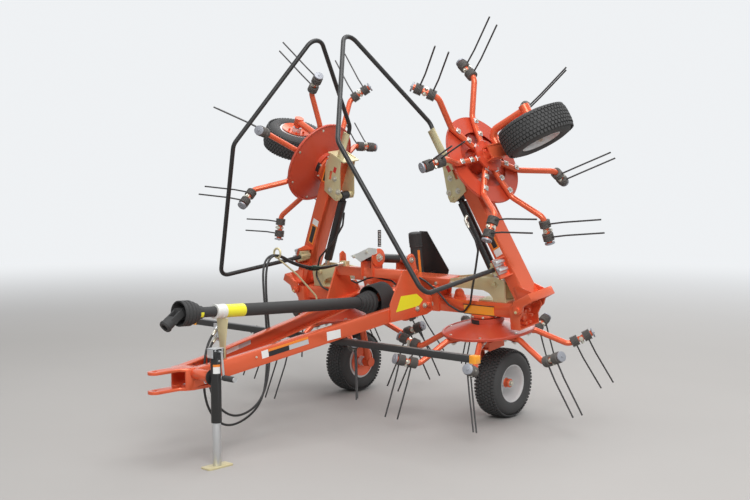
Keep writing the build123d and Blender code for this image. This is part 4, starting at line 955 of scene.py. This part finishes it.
@dataclass
class TineArms:
    """The seven arms of one rotor: bent tube, coils on the straight end, clips, cap and tines."""

    place: Place
    count: int = 7
    phase: float = math.radians(38.5)
    tube_radius: float = 0.017
    start: float = 0.064
    knee: float = 0.268
    bend_at: float = 0.458
    end: float = 0.601
    run_z: float = 0.5127
    bend_z: float = 0.412
    end_z: float = 0.470
    bend_radius: float = 0.055
    coil_radius: float = 0.032
    coil_length: float = 0.044
    coil_gap: float = 0.034
    coil_end: float = 0.014
    turns: int = 6
    wire_dip: float = 0.0042
    cap_radius: float = 0.029
    tine_radius: float = 0.00475
    tine_leg: float = 0.116
    tine_drop: float = 0.196
    tine_flare: float = 0.094
    tine_trail: float = 0.027

    def build(self) -> None:
        """Makes the rotor's arms from one arm, turned about the axis."""
        parts = {"arm_tubes": (self._tube(), Look.RED), "arm_coils": (self._coils(), Look.COIL),
                 "arm_tines": (self._tines(), Look.TINE), "arm_caps": (self._cap(), Look.CAP),
                 "arm_clips": (self._clips(), Look.BOLT)}
        for name, (one, look) in parts.items():
            whole = Shaper()
            for k in range(self.count):
                angle = self.place.spin * self.phase + k * math.tau / self.count
                whole.join(one, Matrix.Rotation(angle, 4, "Z"))
            one.mesh.free()
            made = whole.piece(f"{name}_{self.place.label}", look, f"rotor_{self.place.label}",
                               STANCE.rotor(self.place))
            if name == "arm_tubes":
                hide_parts(f"rotor_arms_{self.place.label}")

    def _run(self) -> Vector:
        """Direction of the arm's straight end."""
        return Vector((self.end - self.bend_at, 0, self.end_z - self.bend_z)).normalized()

    def _base(self, back: float) -> Vector:
        """The point on the straight end that lies this far from its tip."""
        return Vector((self.end, 0, self.end_z)) - self._run() * back

    def _coil_starts(self) -> list[float]:
        """How far from the tip each coil's inner side lies."""
        return [self.coil_end + self.coil_length, self.coil_end + 2 * self.coil_length + self.coil_gap]

    def _tube(self) -> Shaper:
        """The bent tube."""
        points = [(self.start, 0, self.run_z), (self.knee, 0, self.run_z), (self.bend_at, 0, self.bend_z),
                  (self.end, 0, self.end_z)]
        return Shaper().pipe(points, self.tube_radius, self.bend_radius, 16, 5)

    def _coils(self) -> Shaper:
        """Both coils: the spring's turns, side by side."""
        shape = Shaper()
        pitch = self.coil_length / self.turns
        profile = [(self.tube_radius + 0.001, 0.0)]
        for k in range(self.turns):
            profile += [(self.coil_radius - dip, (k + share) * pitch) for dip, share in (
                (self.wire_dip, 0.04), (0.0, 0.3), (0.0, 0.7), (self.wire_dip, 0.96))]
        profile.append((self.tube_radius + 0.001, self.coil_length))
        turn = self._run().to_track_quat("Z", "Y").to_matrix().to_4x4()
        for back in self._coil_starts():
            shape.spun(profile, 28, matrix=Matrix.Translation(self._base(back)) @ turn)
        return shape

    def _cap(self) -> Shaper:
        """The disc that closes the arm's end."""
        tip = self._base(0)
        shape = Shaper().cylinder(self._base(0.004), self._base(-0.006), self.cap_radius, 28, bevel=0.0015)
        return shape.cylinder(tip, self._base(-0.010), 0.007, 12, bevel=0.001)

    def _clips(self) -> Shaper:
        """The folded clip between the coils and its bolt through the arm."""
        shape = Shaper()
        middle = self._base(self.coil_end + self.coil_length + self.coil_gap / 2)
        across = Vector((0, 1, 0))
        up = self._run().cross(across)
        for side in (1, -1):
            shape.hexagon(middle + across * side * self.tube_radius, across * side, 0.019, 0.008, 0.013)
        low, high = self.tube_radius + 0.016, self.tube_radius + 0.002
        shape.cylinder(middle - up * low, middle + up * high, 0.009, 12)
        return shape

    def _tines(self) -> Shaper:
        """Both tines: a leg out of the coil, a bend and the long flared leg."""
        shape = Shaper()
        run = self._run()
        hang = Vector((run.z, 0, -run.x))
        for back in self._coil_starts():
            centre = self._base(back - self.coil_length / 2)
            side = Vector((0, -self.place.spin, 0))
            start = centre + side * (self.coil_radius - self.tine_radius) * 0.4
            kink = centre + hang * self.tine_leg
            tip = kink + Vector((self.tine_flare, self.place.spin * self.tine_trail, -self.tine_drop))
            shape.pipe([start, kink, tip], self.tine_radius, 0.035, 10, 4)
        return shape


@dataclass
class TurfTyre:
    """A turf tyre: smooth carcass with rounded shoulders and rows of small blocks."""

    place: Place
    radius: float = 0.205
    half_width: float = 0.0825
    bead: float = 0.1063
    trail: float = 0.090
    offset: float = 0.012
    pitch_count: int = 58
    tread_depth: float = 0.006

    def matrix(self) -> Matrix:
        """The wheel's own coordinates, axle along X and open rim at +X, to the frame's."""
        c, s = math.cos(STANCE.tilt), math.sin(STANCE.tilt)
        height = STANCE.tilt_height + (self.radius - STANCE.tilt_height - self.trail * s) / c
        fork = self.place.fork
        base = STANCE.rotor(self.place) @ Matrix.Translation((fork * self.offset, self.trail, height))
        return base @ Matrix.Diagonal((fork, 1, 1, 1))

    def build(self) -> None:
        """Makes the carcass and its tread."""
        base = self.matrix()
        label, body = self.place.label, f"wheel_{self.place.label}"
        carcass = Shaper().spun(self._section(), 96, matrix=LYING)
        made = carcass.piece(f"tyre_carcass_{label}", Look.TYRE, body, base, smooth=60)
        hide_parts(f"tyre_{label}")
        self._tread().piece(f"tyre_tread_{label}", Look.TYRE, body, base, smooth=30)

    def _section(self) -> list[Flat]:
        """Half section: beads, bulged walls and a nearly flat crown under the blocks."""
        w, r, deep = self.half_width, self.radius, self.tread_depth
        right = [(self.bead, w - 0.028), (self.bead + 0.004, w - 0.016), (self.bead + 0.018, w - 0.006),
                 (self.bead + 0.036, w - 0.001), (r - 0.050, w - 0.001), (r - 0.034, w - 0.006),
                 (r - 0.020 - deep, w - 0.014), (r - 0.010 - deep, w - 0.026), (r - 0.003 - deep, w - 0.045),
                 (r - deep, w - 0.065)]
        return right + [(radius, -height) for radius, height in reversed(right)]

    def _tread(self) -> Shaper:
        """Rows of blocks, each row a little further round than the last."""
        one = Shaper()
        step = math.tau * self.radius / self.pitch_count
        rows = 7
        wide = 2 * (self.half_width - 0.012) / rows
        for k in range(rows):
            x = (k - (rows - 1) / 2) * wide
            share = abs(x) / self.half_width
            drop = 0.020 * share ** 3.2
            lean = 0.5 * math.copysign(share ** 3, x)
            part = Shaper().block((wide * 0.80, step * 0.66, self.tread_depth + 0.003), (0, 0, 0), 0.0009)
            seat = (Matrix.Rotation(-(k % 2) * math.pi / self.pitch_count, 4, "X")
                    @ Matrix.Translation((x, 0, self.radius - drop - self.tread_depth / 2 - 0.0015))
                    @ Matrix.Rotation(lean, 4, "Y"))
            one.join(part, seat)
            part.mesh.free()
        whole = Shaper()
        for k in range(self.pitch_count):
            whole.join(one, Matrix.Rotation(k * math.tau / self.pitch_count, 4, "X"))
        one.mesh.free()
        return whole


@dataclass
class WheelHub:
    """The wheel's hub boss with its nut, its valve and the red disc on its leg side."""

    place: Place
    boss_start: float = 0.020
    boss_end: float = 0.052
    boss_radius: float = 0.026
    disc_edge: Flat = (0.0985, -0.0772)
    disc_middle: Flat = (0.062, -0.0650)

    def build(self) -> None:
        """Makes what the rim carries on both of its sides."""
        base = TurfTyre(self.place).matrix()
        label, body = self.place.label, f"wheel_{self.place.label}"
        low, high, wide = self.boss_start, self.boss_end, self.boss_radius
        boss = Shaper().spun([(0.0, low), (wide + 0.004, low), (wide, low + 0.004), (wide, high - 0.003),
                              (wide - 0.003, high), (0.0, high)], 32, False, LYING)
        boss.piece(f"wheel_boss_{label}", Look.RED, body, base)
        nut = Shaper().hexagon((self.boss_end, 0, 0), (1, 0, 0), 0.030, 0.010, 0.018)
        nut.piece(f"wheel_nut_{label}", Look.BOLT, body, base)
        valve = Shaper().cylinder((-0.052, 0.030, 0.070), (-0.018, 0.034, 0.076), 0.0038, 12, bevel=0.0008)
        valve.cylinder((-0.052, 0.030, 0.070), (-0.046, 0.0305, 0.071), 0.0062, 12)
        valve.piece(f"wheel_valve_{label}", Look.PLASTIC, body, base)
        edge, middle = self.disc_edge, self.disc_middle
        disc = Shaper().spun([(0.032, middle[1]), middle, edge, (edge[0], edge[1] + 0.002),
                              (middle[0], middle[1] + 0.002), (0.032, middle[1] + 0.002)], 64, True, LYING)
        for k in range(4):
            angle = (k + 0.5) * math.tau / 4
            spot = Vector((middle[1], 0.047 * math.cos(angle), 0.047 * math.sin(angle)))
            disc.hexagon(spot, (-1, 0, 0), 0.016, 0.007)
        disc.piece(f"wheel_disc_{label}", Look.RED, body, base)


@dataclass
class RotorDress:
    """A rotor's rolled dish rim, its bolts above and below, and the gearbox collar's blank plate."""

    place: Place
    rim_radius: float = 0.2665
    rim_wire: float = 0.0058
    rim_z: float = 0.5405
    top_bolt: Flat = (0.243, 0.5465)
    under_bolts: tuple[Flat, ...] = ((0.229, 0.4957), (0.146, 0.4957), (0.088, 0.4957))
    collar_radius: float = 0.0975
    plates: dict[str, tuple[float, float, float, float]] = field(default_factory=lambda: {
        "inner_left": (-123.0, -82.0, 0.586, 0.612), "outer_right": (-118.0, -82.0, 0.600, 0.626)})

    def build(self) -> None:
        """Makes the rim, the bolts and the plate."""
        base = STANCE.rotor(self.place)
        label, body = self.place.label, f"rotor_{self.place.label}"
        rim = Shaper().ring(self.rim_radius, self.rim_wire, Matrix.Translation((0, 0, self.rim_z)), 96)
        rim.piece(f"dish_rim_{label}", Look.DISH_RED, body, base)
        bolts, washers = Shaper(), Shaper()
        arms = TineArms(self.place)
        for k in range(arms.count):
            angle = self.place.spin * arms.phase + k * math.tau / arms.count
            turn = Matrix.Rotation(angle, 4, "Z")
            radius, height = self.top_bolt
            low, high = (turn @ Vector((radius, 0, height + step)) for step in (-0.004, 0.003))
            bolts.cylinder(low, high, 0.0085, 12, bevel=0.0012)
            for out, under in self.under_bolts:
                spot = turn @ Vector((out, 0, under - 0.003))
                bolts.hexagon(spot, (0, 0, -1), 0.019, 0.008)
                washer = Shaper().block((0.030, 0.030, 0.005), (out, 0, under - 0.001), 0.0008)
                washers.join(washer, turn)
                washer.mesh.free()
        bolts.piece(f"dish_bolts_{label}", Look.BOLT, body, base)
        washers.piece(f"dish_washers_{label}", Look.SILVER, body, base)
        if label in self.plates:
            start, end, low, high = self.plates[label]
            plate = Shaper().wrap(self.collar_radius, (start, end), low, high)
            plate.piece(f"collar_plate_{label}", Look.INK, body, base)


@dataclass(frozen=True)
class Patch:
    """A blank label or a thin plate: its finish, the way it looks, its corners and its thickness."""

    look: Look
    out: Point
    corners: tuple[Point, ...]
    thick: float = SKIN


@dataclass(frozen=True)
class Bolt:
    """A bolt head on a face: its middle, its way out, its width, height and washer."""

    centre: Point
    out: Point
    across: float = 0.022
    height: float = 0.009
    washer: float = 0.0
    look: Look = Look.BOLT


@dataclass
class Fittings:
    """Blank labels, thin plates and bolt heads that one body carries."""

    name: str
    body: str
    base: Matrix
    patches: Sequence[Patch] = ()
    bolts: Sequence[Bolt] = ()

    def build(self) -> None:
        """Makes one piece of each finish."""
        shapes: dict[Look, Shaper] = {}
        for patch in self.patches:
            shapes.setdefault(patch.look, Shaper()).patch(patch.corners, patch.out, patch.thick)
        for bolt in self.bolts:
            shapes.setdefault(bolt.look, Shaper()).hexagon(
                bolt.centre, bolt.out, bolt.across, bolt.height, bolt.washer)
        for look, shape in shapes.items():
            shape.piece(f"{self.name}_{look.name.lower()}", look, self.body, self.base, smooth=30)


def strip(start: Point, along: Point, out: Point, spans: Sequence[tuple[Look, float, float, float, float]],
          lift: float = SKIN) -> list[Patch]:
    """Rectangles side by side on one face.

    Args:
        start: the corner that all are measured from.
        along: which way they run.
        out: which way the face looks.
        spans: each one's finish, start, end, lower and upper edge.
        lift: how far they stand out; each later one stands a little further.

    Returns:
        The patches.
    """
    origin, way, front = Vector(start), Vector(along).normalized(), Vector(out).normalized()
    up = front.cross(way).normalized()
    made = []
    for k, (look, low_x, high_x, low_z, high_z) in enumerate(spans):
        corners = tuple(tuple(origin + way * x + up * z) for x, z in (
            (low_x, low_z), (high_x, low_z), (high_x, high_z), (low_x, high_z)))
        made.append(Patch(look, out, corners, lift + 0.0002 * (k % 3)))
    return made


LEFT_FACE: Point = (0.9906, -0.1361, 0.0)
RIGHT_FACE: Point = (0.9906, 0.1361, 0.0)
FRONT: Point = (0.0, -1.0, 0.0)
LEFT: Point = (1.0, 0.0, 0.0)


@dataclass
class DrawbarDress:
    """Labels, bolts and small plates of the drawbar, its headstock and its crossbar."""

    rail_way: Point = (0.1374, 1.0, 0.164)
    far_way: Point = (-0.1374, 1.0, 0.164)
    lug_disc: tuple[float, float, float] = (0.0560, -0.356, 0.951)
    lug_radius: float = 0.055
    ticks: int = 9

    def build(self) -> None:
        """Makes everything that rides on the drawbar."""
        base = STANCE.ground()
        patches = [
            Patch(Look.YELLOW, LEFT_FACE, (
                (0.273, -0.400, 0.739), (0.289, -0.281, 0.745), (0.296, -0.231, 0.707),
                (0.292, -0.263, 0.674), (0.268, -0.438, 0.649))),
            Patch(Look.WHITE, LEFT_FACE, (
                (0.190, -0.925, 0.579), (0.203, -0.831, 0.587), (0.204, -0.827, 0.541),
                (0.191, -0.922, 0.530))),
        ]
        patches += strip((0.133, -1.345, 0.478), self.rail_way, LEFT_FACE, (
            (Look.WHITE, 0.0, 0.042, 0.0, 0.040), (Look.ORANGE, 0.044, 0.306, 0.027, 0.040),
            (Look.INK, 0.044, 0.176, 0.0, 0.026), (Look.GREY, 0.176, 0.306, 0.0, 0.026)))
        patches += strip((-0.1205, -1.378, 0.478), self.far_way, RIGHT_FACE, (
            (Look.WHITE, 0.0, 0.100, 0.0, 0.042), (Look.GREY, 0.100, 0.200, 0.0, 0.042)))
        patches.append(Patch(Look.ZINC, FRONT, tuple((x, -0.402, z) for x, z in (
            (-0.128, 0.955), (-0.080, 0.942), (-0.045, 0.923), (0.088, 0.981), (0.084, 1.009), (0.026, 1.012),
            (-0.060, 0.977))), 0.005))
        bolts = [
            Bolt((0.290, -0.274, 0.657), LEFT_FACE, washer=0.017),
            Bolt((0.298, -0.218, 0.672), LEFT_FACE, washer=0.017),
            Bolt((0.284, -0.321, 0.946), LEFT_FACE, 0.024, 0.010, 0.016),
            Bolt((0.128, -1.383, 0.491), LEFT_FACE, 0.012, 0.005),
            Bolt((self.lug_disc[0] + 0.004, *self.lug_disc[1:]), LEFT, 0.034, 0.014, 0.024),
            Bolt((-0.095, -0.407, 0.952), FRONT, 0.018, 0.008),
            Bolt((0.010, -0.407, 0.985), FRONT, 0.018, 0.008),
        ]
        Fittings("drawbar_fittings", "drawbar", base, patches, bolts).build()
        disc, half = Vector(self.lug_disc), Vector((0.004, 0, 0))
        boss = Shaper().cylinder(disc - half, disc + half, self.lug_radius, 40, bevel=0.0015)
        boss.cylinder((0.286, -0.284, 0.874), (0.296, -0.2854, 0.874), 0.015, 24, bevel=0.002)
        boss.piece("lug_discs", Look.RED, "drawbar", base)
        self._gauge(base)
        self._pipes(base)

    def _gauge(self, base: Matrix) -> None:
        """The upright black strip with white ticks beside the tilt cylinder."""
        strip_body = Shaper().block((0.004, 0.028, 0.101), (0.0, -0.285, 1.0605), 0.0008)
        strip_body.piece("tilt_gauge", Look.PLASTIC, "drawbar", base)
        ticks = Shaper()
        for k in range(self.ticks):
            ticks.block((0.0052, 0.016 if k % 2 else 0.022, 0.0028), (0.0, -0.285, 1.018 + k * 0.0105))
        ticks.piece("tilt_gauge_ticks", Look.WHITE, "drawbar", base)

    def _pipes(self, base: Matrix) -> None:
        """The fixed hose along the crossbar, and the ring with its short chain at the jack."""
        route = [(x, -0.352, z) for x, z in (
            (-0.170, 0.800), (-0.129, 0.788), (-0.038, 0.820), (0.017, 0.834), (0.087, 0.824), (0.155, 0.820),
            (0.190, 0.800))]
        Shaper().pipe(route, 0.0055, 0.03, 12, 5).piece("crossbar_hose", Look.HOSE, "drawbar", base)
        links = Shaper().chain([(0.120, -1.735, 0.455), (0.122, -1.728, 0.424), (0.126, -1.716, 0.400)])
        links.ring(0.014, 0.0022, Matrix.Translation((0.128, -1.746, 0.444)) @ LYING, 24, 6)
        links.piece("stub_ring", Look.SILVER, "drawbar", base)


@dataclass
class JackDress:
    """The jack's red sleeve, gear cover, rivets, label and grip."""

    centre: Flat = (0.243, -1.746)
    tube_radius: float = 0.0265
    sleeve_z: float = 0.446
    sleeve_radius: float = 0.0289
    grip: Flat = (-1.734, 0.449)

    def build(self) -> None:
        """Makes what rides on the jack."""
        base = STANCE.ground()
        x, y = self.centre
        start, end = ((across, y, self.sleeve_z) for across in (0.0905, 0.2065))
        sleeve = Shaper().cylinder(start, end, self.sleeve_radius, 32, bevel=0.001)
        sleeve.ring(0.0405, 0.0012, Matrix.Translation((0.2115, y, self.sleeve_z)) @ LYING, 40, 6)
        sleeve.piece("jack_sleeve", Look.RED, "jack", base)
        cover = Shaper().block((0.043, 0.004, 0.043), (x, y - 0.0335, 0.5685), 0.0012)
        cover.block((0.052, 0.068, 0.003), (x, y, 0.5925), 0.0008)
        cover.piece("jack_gear_cover", Look.SILVER, "jack", base)
        rivets = Shaper()
        for side, z, low, high, radius in ((-0.022, 0.584, 0.023, 0.0265, 0.0048),
                                           (0.022, 0.584, 0.023, 0.0265, 0.0048),
                                           (0.0, 0.532, 0.025, 0.0295, 0.0055)):
            rivets.cylinder((x + low, y + side, z), (x + high, y + side, z), radius, 14, bevel=0.0012)
        for side in (-0.013, 0.013):
            low, high = ((x + side, y - reach, 0.556) for reach in (0.034, 0.0385))
            rivets.cylinder(low, high, 0.0045, 14, bevel=0.001)
        rivets.piece("jack_rivets", Look.SILVER, "jack", base)
        place = Matrix.Translation((x, y, 0))
        for name, look, low, high in (("jack_label", Look.WHITE, 0.470, 0.503),
                                      ("jack_label_band", Look.ORANGE, 0.503, 0.515)):
            Shaper().wrap(self.tube_radius, (-69.0, 11.0), low, high, place).piece(name, look, "jack", base)
        grip_y, grip_z = self.grip
        grip = Shaper().cylinder((0.286, grip_y, grip_z), (0.371, grip_y, grip_z), 0.0138, 24, bevel=0.002)
        for k in range(9):
            grip.ring(0.0138, 0.0009, Matrix.Translation((0.296 + 0.008 * k, grip_y, grip_z)) @ LYING, 24, 6)
        grip.piece("jack_grip", Look.PLASTIC, "jack", base)


@dataclass
class BeamDress:
    """Bolts, reflector and small parts of the level beam and its tower."""

    def build(self) -> None:
        """Makes what rides on the beam."""
        base = STANCE.beam()
        patches = [Patch(Look.AMBER, FRONT, tuple((x, -0.060, z) for x, z in (
            (0.488, 0.640), (0.703, 0.640), (0.703, 0.690), (0.488, 0.690))), 0.004)]
        bolts = []
        for side in (1, -1):
            bolts += [Bolt((side * 0.244, -0.0683, 0.677), FRONT, washer=0.016),
                      Bolt((side * 0.290, -0.0603, 0.805), FRONT),
                      Bolt((side * 0.398, -0.0497, 0.808), FRONT, 0.026, 0.010, 0.019),
                      Bolt((side * 0.710, -0.0637, 0.820), FRONT, 0.018, 0.006, look=Look.GOLD),
                      Bolt((side * 0.266, -0.0683, 0.752), FRONT, washer=0.015)]
        for x in (-0.05, 0.05):
            for z in (0.700, 0.765):
                bolts.append(Bolt((x, -0.0603, z), FRONT, 0.018, 0.008))
        Fittings("beam_fittings", "beam", base, patches, bolts).build()
        frame = Shaper()
        for low, high in (((0.484, 0.636), (0.707, 0.640)), ((0.484, 0.690), (0.707, 0.694))):
            frame.block((high[0] - low[0], 0.005, high[1] - low[1]),
                        ((low[0] + high[0]) / 2, -0.0625, (low[1] + high[1]) / 2))
        frame.piece("reflector_frame", Look.BLACK, "beam", base)
        self._document_tube(base)
        for place in Place:
            self._gearbox(place)

    @staticmethod
    def _document_tube(base: Matrix) -> None:
        """The grips of the document tube's lid and the blank strip down its side."""
        middle = Matrix.Translation((0.014, 0.0993, 0))
        grips = Shaper()
        for height in (0.990, 1.004, 1.070):
            grips.ring(0.0392, 0.0016, middle @ Matrix.Translation((0, 0, height)), 40, 8)
        for k in range(18):
            grips.wrap(0.039, (k * 20.0, k * 20.0 + 8.0), 1.010, 1.064, middle, 0.0014)
        grips.piece("document_lid_grips", Look.PLASTIC, "beam", base)
        paper = Shaper().wrap(0.0362, (-38.0, -14.0), 0.815, 0.968, middle)
        paper.piece("document_strip", Look.ORANGE, "beam", base)

    @staticmethod
    def _gearbox(place: Place) -> None:
        """The bolts round the top of a rotor's gearbox."""
        body = ("wing_left" if place.side > 0 else "wing_right") if place.on_wing else "beam"
        shape = Shaper()
        for k in range(8):
            angle = (k + 0.5) * math.tau / 8
            spot = Vector((0.0925 * math.cos(angle), 0.0925 * math.sin(angle), 0.628))
            shape.hexagon(spot, spot.xy.to_3d(), 0.014, 0.006)
        shape.piece(f"gearbox_bolts_{place.label}", Look.BOLT, body, STANCE.rotor(place))


@dataclass
class WingDress:
    """Labels and bolts of one folded wing, and the hose of its cylinder."""

    side: int
    hose_radius: float = 0.0062
    saddle: tuple[Flat, ...] = ((0.0, 0.6725), (0.0, 0.664), (0.010, 0.660), (0.015, 0.648), (0.029, 0.648),
                                (0.034, 0.660), (0.044, 0.664), (0.044, 0.6725))
    near_hose: tuple[Flat, ...] = (
        (0.580, 1.154), (0.622, 1.080), (0.635, 1.022), (0.607, 0.917), (0.569, 0.790), (0.548, 0.704),
        (0.484, 0.638), (0.382, 0.684), (0.301, 0.764), (0.223, 0.813), (0.173, 0.834))
    far_hose: tuple[Flat, ...] = (
        (-0.410, 1.220), (-0.434, 1.137), (-0.529, 1.031), (-0.672, 0.920), (-0.727, 0.798), (-0.682, 0.721),
        (-0.616, 0.697), (-0.480, 0.700), (-0.386, 0.770))

    def build(self) -> None:
        """Makes what rides on the wing."""
        name = "left" if self.side > 0 else "right"
        base = STANCE.wing(self.side)
        if self.side > 0:
            lower, upper = (1.229, 1.270, 1.404, 0.656, 0.706), (1.687, 1.733, 1.860, 0.642, 0.690)
        else:
            lower, upper = (-1.421, -1.380, -1.244, 0.656, 0.706), (-1.842, -1.796, -1.690, 0.642, 0.690)
        patches = []
        for start, middle, end, low, high in (lower, upper):
            spans = [(Look.WHITE, start, middle, low, high), (Look.ORANGE, middle, end, low, high),
                     (Look.INK, middle + 0.010, end - 0.008, low + 0.009, high - 0.009)]
            patches += strip((0.0, -0.060, 0.0), (1.0, 0.0, 0.0), FRONT, spans)
        bolts = []
        for x, z in ((1.673, 0.740), (1.693, 0.806), (1.760, 0.752)):
            bolts.append(Bolt((self.side * x, -0.0683, z), FRONT, 0.024, 0.010, 0.018))
        bolts.append(Bolt((self.side * 0.898, -0.125, 0.703), FRONT, 0.018, 0.006, look=Look.GOLD))
        Fittings(f"wing_{name}_fittings", f"wing_{name}", base, patches, bolts).build()
        clamp = Shaper()
        for x in (1.122, 1.170):
            clamp.prism([(self.side * (x + out), z) for out, z in self.saddle], -0.158, -0.080, 0.0012)
        clamp.piece(f"hoop_saddle_{name}", Look.SILVER, f"wing_{name}", base)
        red = Patch(Look.LAMP_RED, FRONT, tuple((self.side * x, -0.0683, z) for x, z in (
            (1.794, 0.722), (1.832, 0.722), (1.832, 0.745), (1.794, 0.745))))
        Fittings(f"wing_{name}_reflector", f"wing_{name}", base, [red]).build()
        self._hose(name)

    def _hose(self, name: str) -> None:
        """The cylinder's hose from the wing round the hinge to the tower."""
        base = STANCE.beam()
        route = [(x, -0.075, z) for x, z in (self.near_hose if self.side > 0 else self.far_hose)]
        hose = Shaper().pipe(route, self.hose_radius, 0.045, 12, 6)
        made = hose.piece(f"cylinder_hose_{name}", Look.HOSE, None, base)
        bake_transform(made)
        if self.side > 0:
            elbow = [(0.565, -0.060, 1.219), (0.559, -0.075, 1.198), (0.581, -0.075, 1.152)]
            fitting = Shaper().pipe(elbow, 0.0085, 0.008, 14, 4)
            fitting.hexagon((0.570, -0.075, 1.180), (0.3, 0, -0.9), 0.024, 0.012)
            fitting.piece(f"hose_fitting_{name}", Look.BOLT, f"wing_{name}", base)


@dataclass
class DrivelineDress:
    """The driveline's yellow band, white collar, label and ribbed front cone."""

    tube_radius: float = 0.034
    shaft_radius: float = 0.027
    band: Flat = (0.966, 1.094)
    collar: Flat = (1.094, 1.157)
    label: Flat = (1.250, 1.271)
    cone: Point = (1.2465, 1.277, 1.387)
    neck_radius: float = 0.034
    bore_radius: float = 0.019
    mouth_radius: float = 0.066
    ribs: int = 5
    rib_start: float = 0.050
    rib_rise: float = 0.009
    rib_depth: float = 0.006

    def build(self) -> None:
        """Makes what rides on the driveline's halves."""
        joints = {j["name"]: j for j in STATE.record["behaviour"]["joints"]}
        axis = Vector(joints["driveline_length"]["axis"]).normalized()
        axis = -axis if axis.y > 0 else axis
        side = Vector((1, 0, 0))
        turn = Matrix((side, axis.cross(side), axis)).transposed().to_4x4()
        base = Matrix.Translation(joints["driveline_lift"]["pos_m"]) @ turn
        tube, shaft = self.tube_radius, self.shaft_radius + 0.001
        start, end = self.band
        band = Shaper().spun([(tube - 0.001, start), (tube + SKIN, start), (tube + SKIN, end),
                              (tube - 0.001, end)], 40)
        band.piece("driveline_band", Look.YELLOW, "driveline_rear", base)
        start, end = self.collar
        collar = Shaper().spun([
            (tube - 0.001, start), (tube + 0.004, start), (tube + 0.004, start + 0.022),
            (tube + 0.002, start + 0.024), (tube + 0.002, end - 0.008), (tube + 0.005, end - 0.006),
            (tube + 0.005, end + 0.002), (shaft, end + 0.002), (shaft, end + 0.0004),
            (tube - 0.001, end + 0.0004)], 40)
        collar.piece("driveline_collar", Look.COLLAR, "driveline_rear", base)
        self._cone(base)
        label = Shaper().wrap(self.neck_radius + 0.0001, (-40.0, 5.0), *self.label, thick=0.0006)
        label.piece("driveline_label", Look.YELLOW, "driveline_front", base)

    def _cone(self, base: Matrix) -> None:
        """The ribbed guard over the front joint.

        Args:
            base: the driveline's own frame.
        """
        start, neck, mouth = self.cone
        step, wide, slim = (mouth - neck) / self.ribs, self.mouth_radius, self.neck_radius
        profile = [(self.bore_radius, start), (slim, start), (slim, neck - 0.004), (0.040, neck)]
        for k in range(self.ribs):
            radius = min(self.rib_start + self.rib_rise * k, wide)
            low = neck + k * step
            profile += [(radius, low + 0.2 * step), (radius, low + 0.75 * step),
                        (radius - self.rib_depth, low + step)]
        profile += [(wide, mouth - 0.003), (wide, mouth), (wide - 0.004, mouth), (0.055, mouth - 0.03),
                    (0.040, neck + 0.012), (self.bore_radius, neck + 0.012)]
        cone = Shaper().spun(profile, 48).piece("driveline_guard_cone", Look.PLASTIC, "driveline_front", base)
        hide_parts("driveline_cone_front")


def write_size(stage: str, store: dict[str, object]) -> None:
    """Notes the object's bounds.

    Args:
        stage: when they are taken.
        store: where they are kept.
    """
    low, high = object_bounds()
    store[stage] = {"low": list(low), "high": list(high)}


def main() -> None:
    """Builds the camera, the stage and every dressed piece in order."""
    logging.basicConfig(level=logging.INFO, format="%(message)s")
    for old in list(bpy.data.objects):
        bpy.data.objects.remove(old)
    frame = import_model()
    STATE.record = frame["record"]
    sizes: dict[str, object] = {}
    write_size("frame", sizes)
    PhotoCamera().build()
    Hoses().build()
    Studio().build()
    CadDresser(frame["nodes"]).build()
    for place in Place:
        TineArms(place).build()
        TurfTyre(place).build()
        WheelHub(place).build()
        RotorDress(place).build()
    DrawbarDress().build()
    JackDress().build()
    BeamDress().build()
    for side in (1, -1):
        WingDress(side).build()
    DrivelineDress().build()
    write_size("dressed", sizes)


if __name__ == "__main__":
    main()
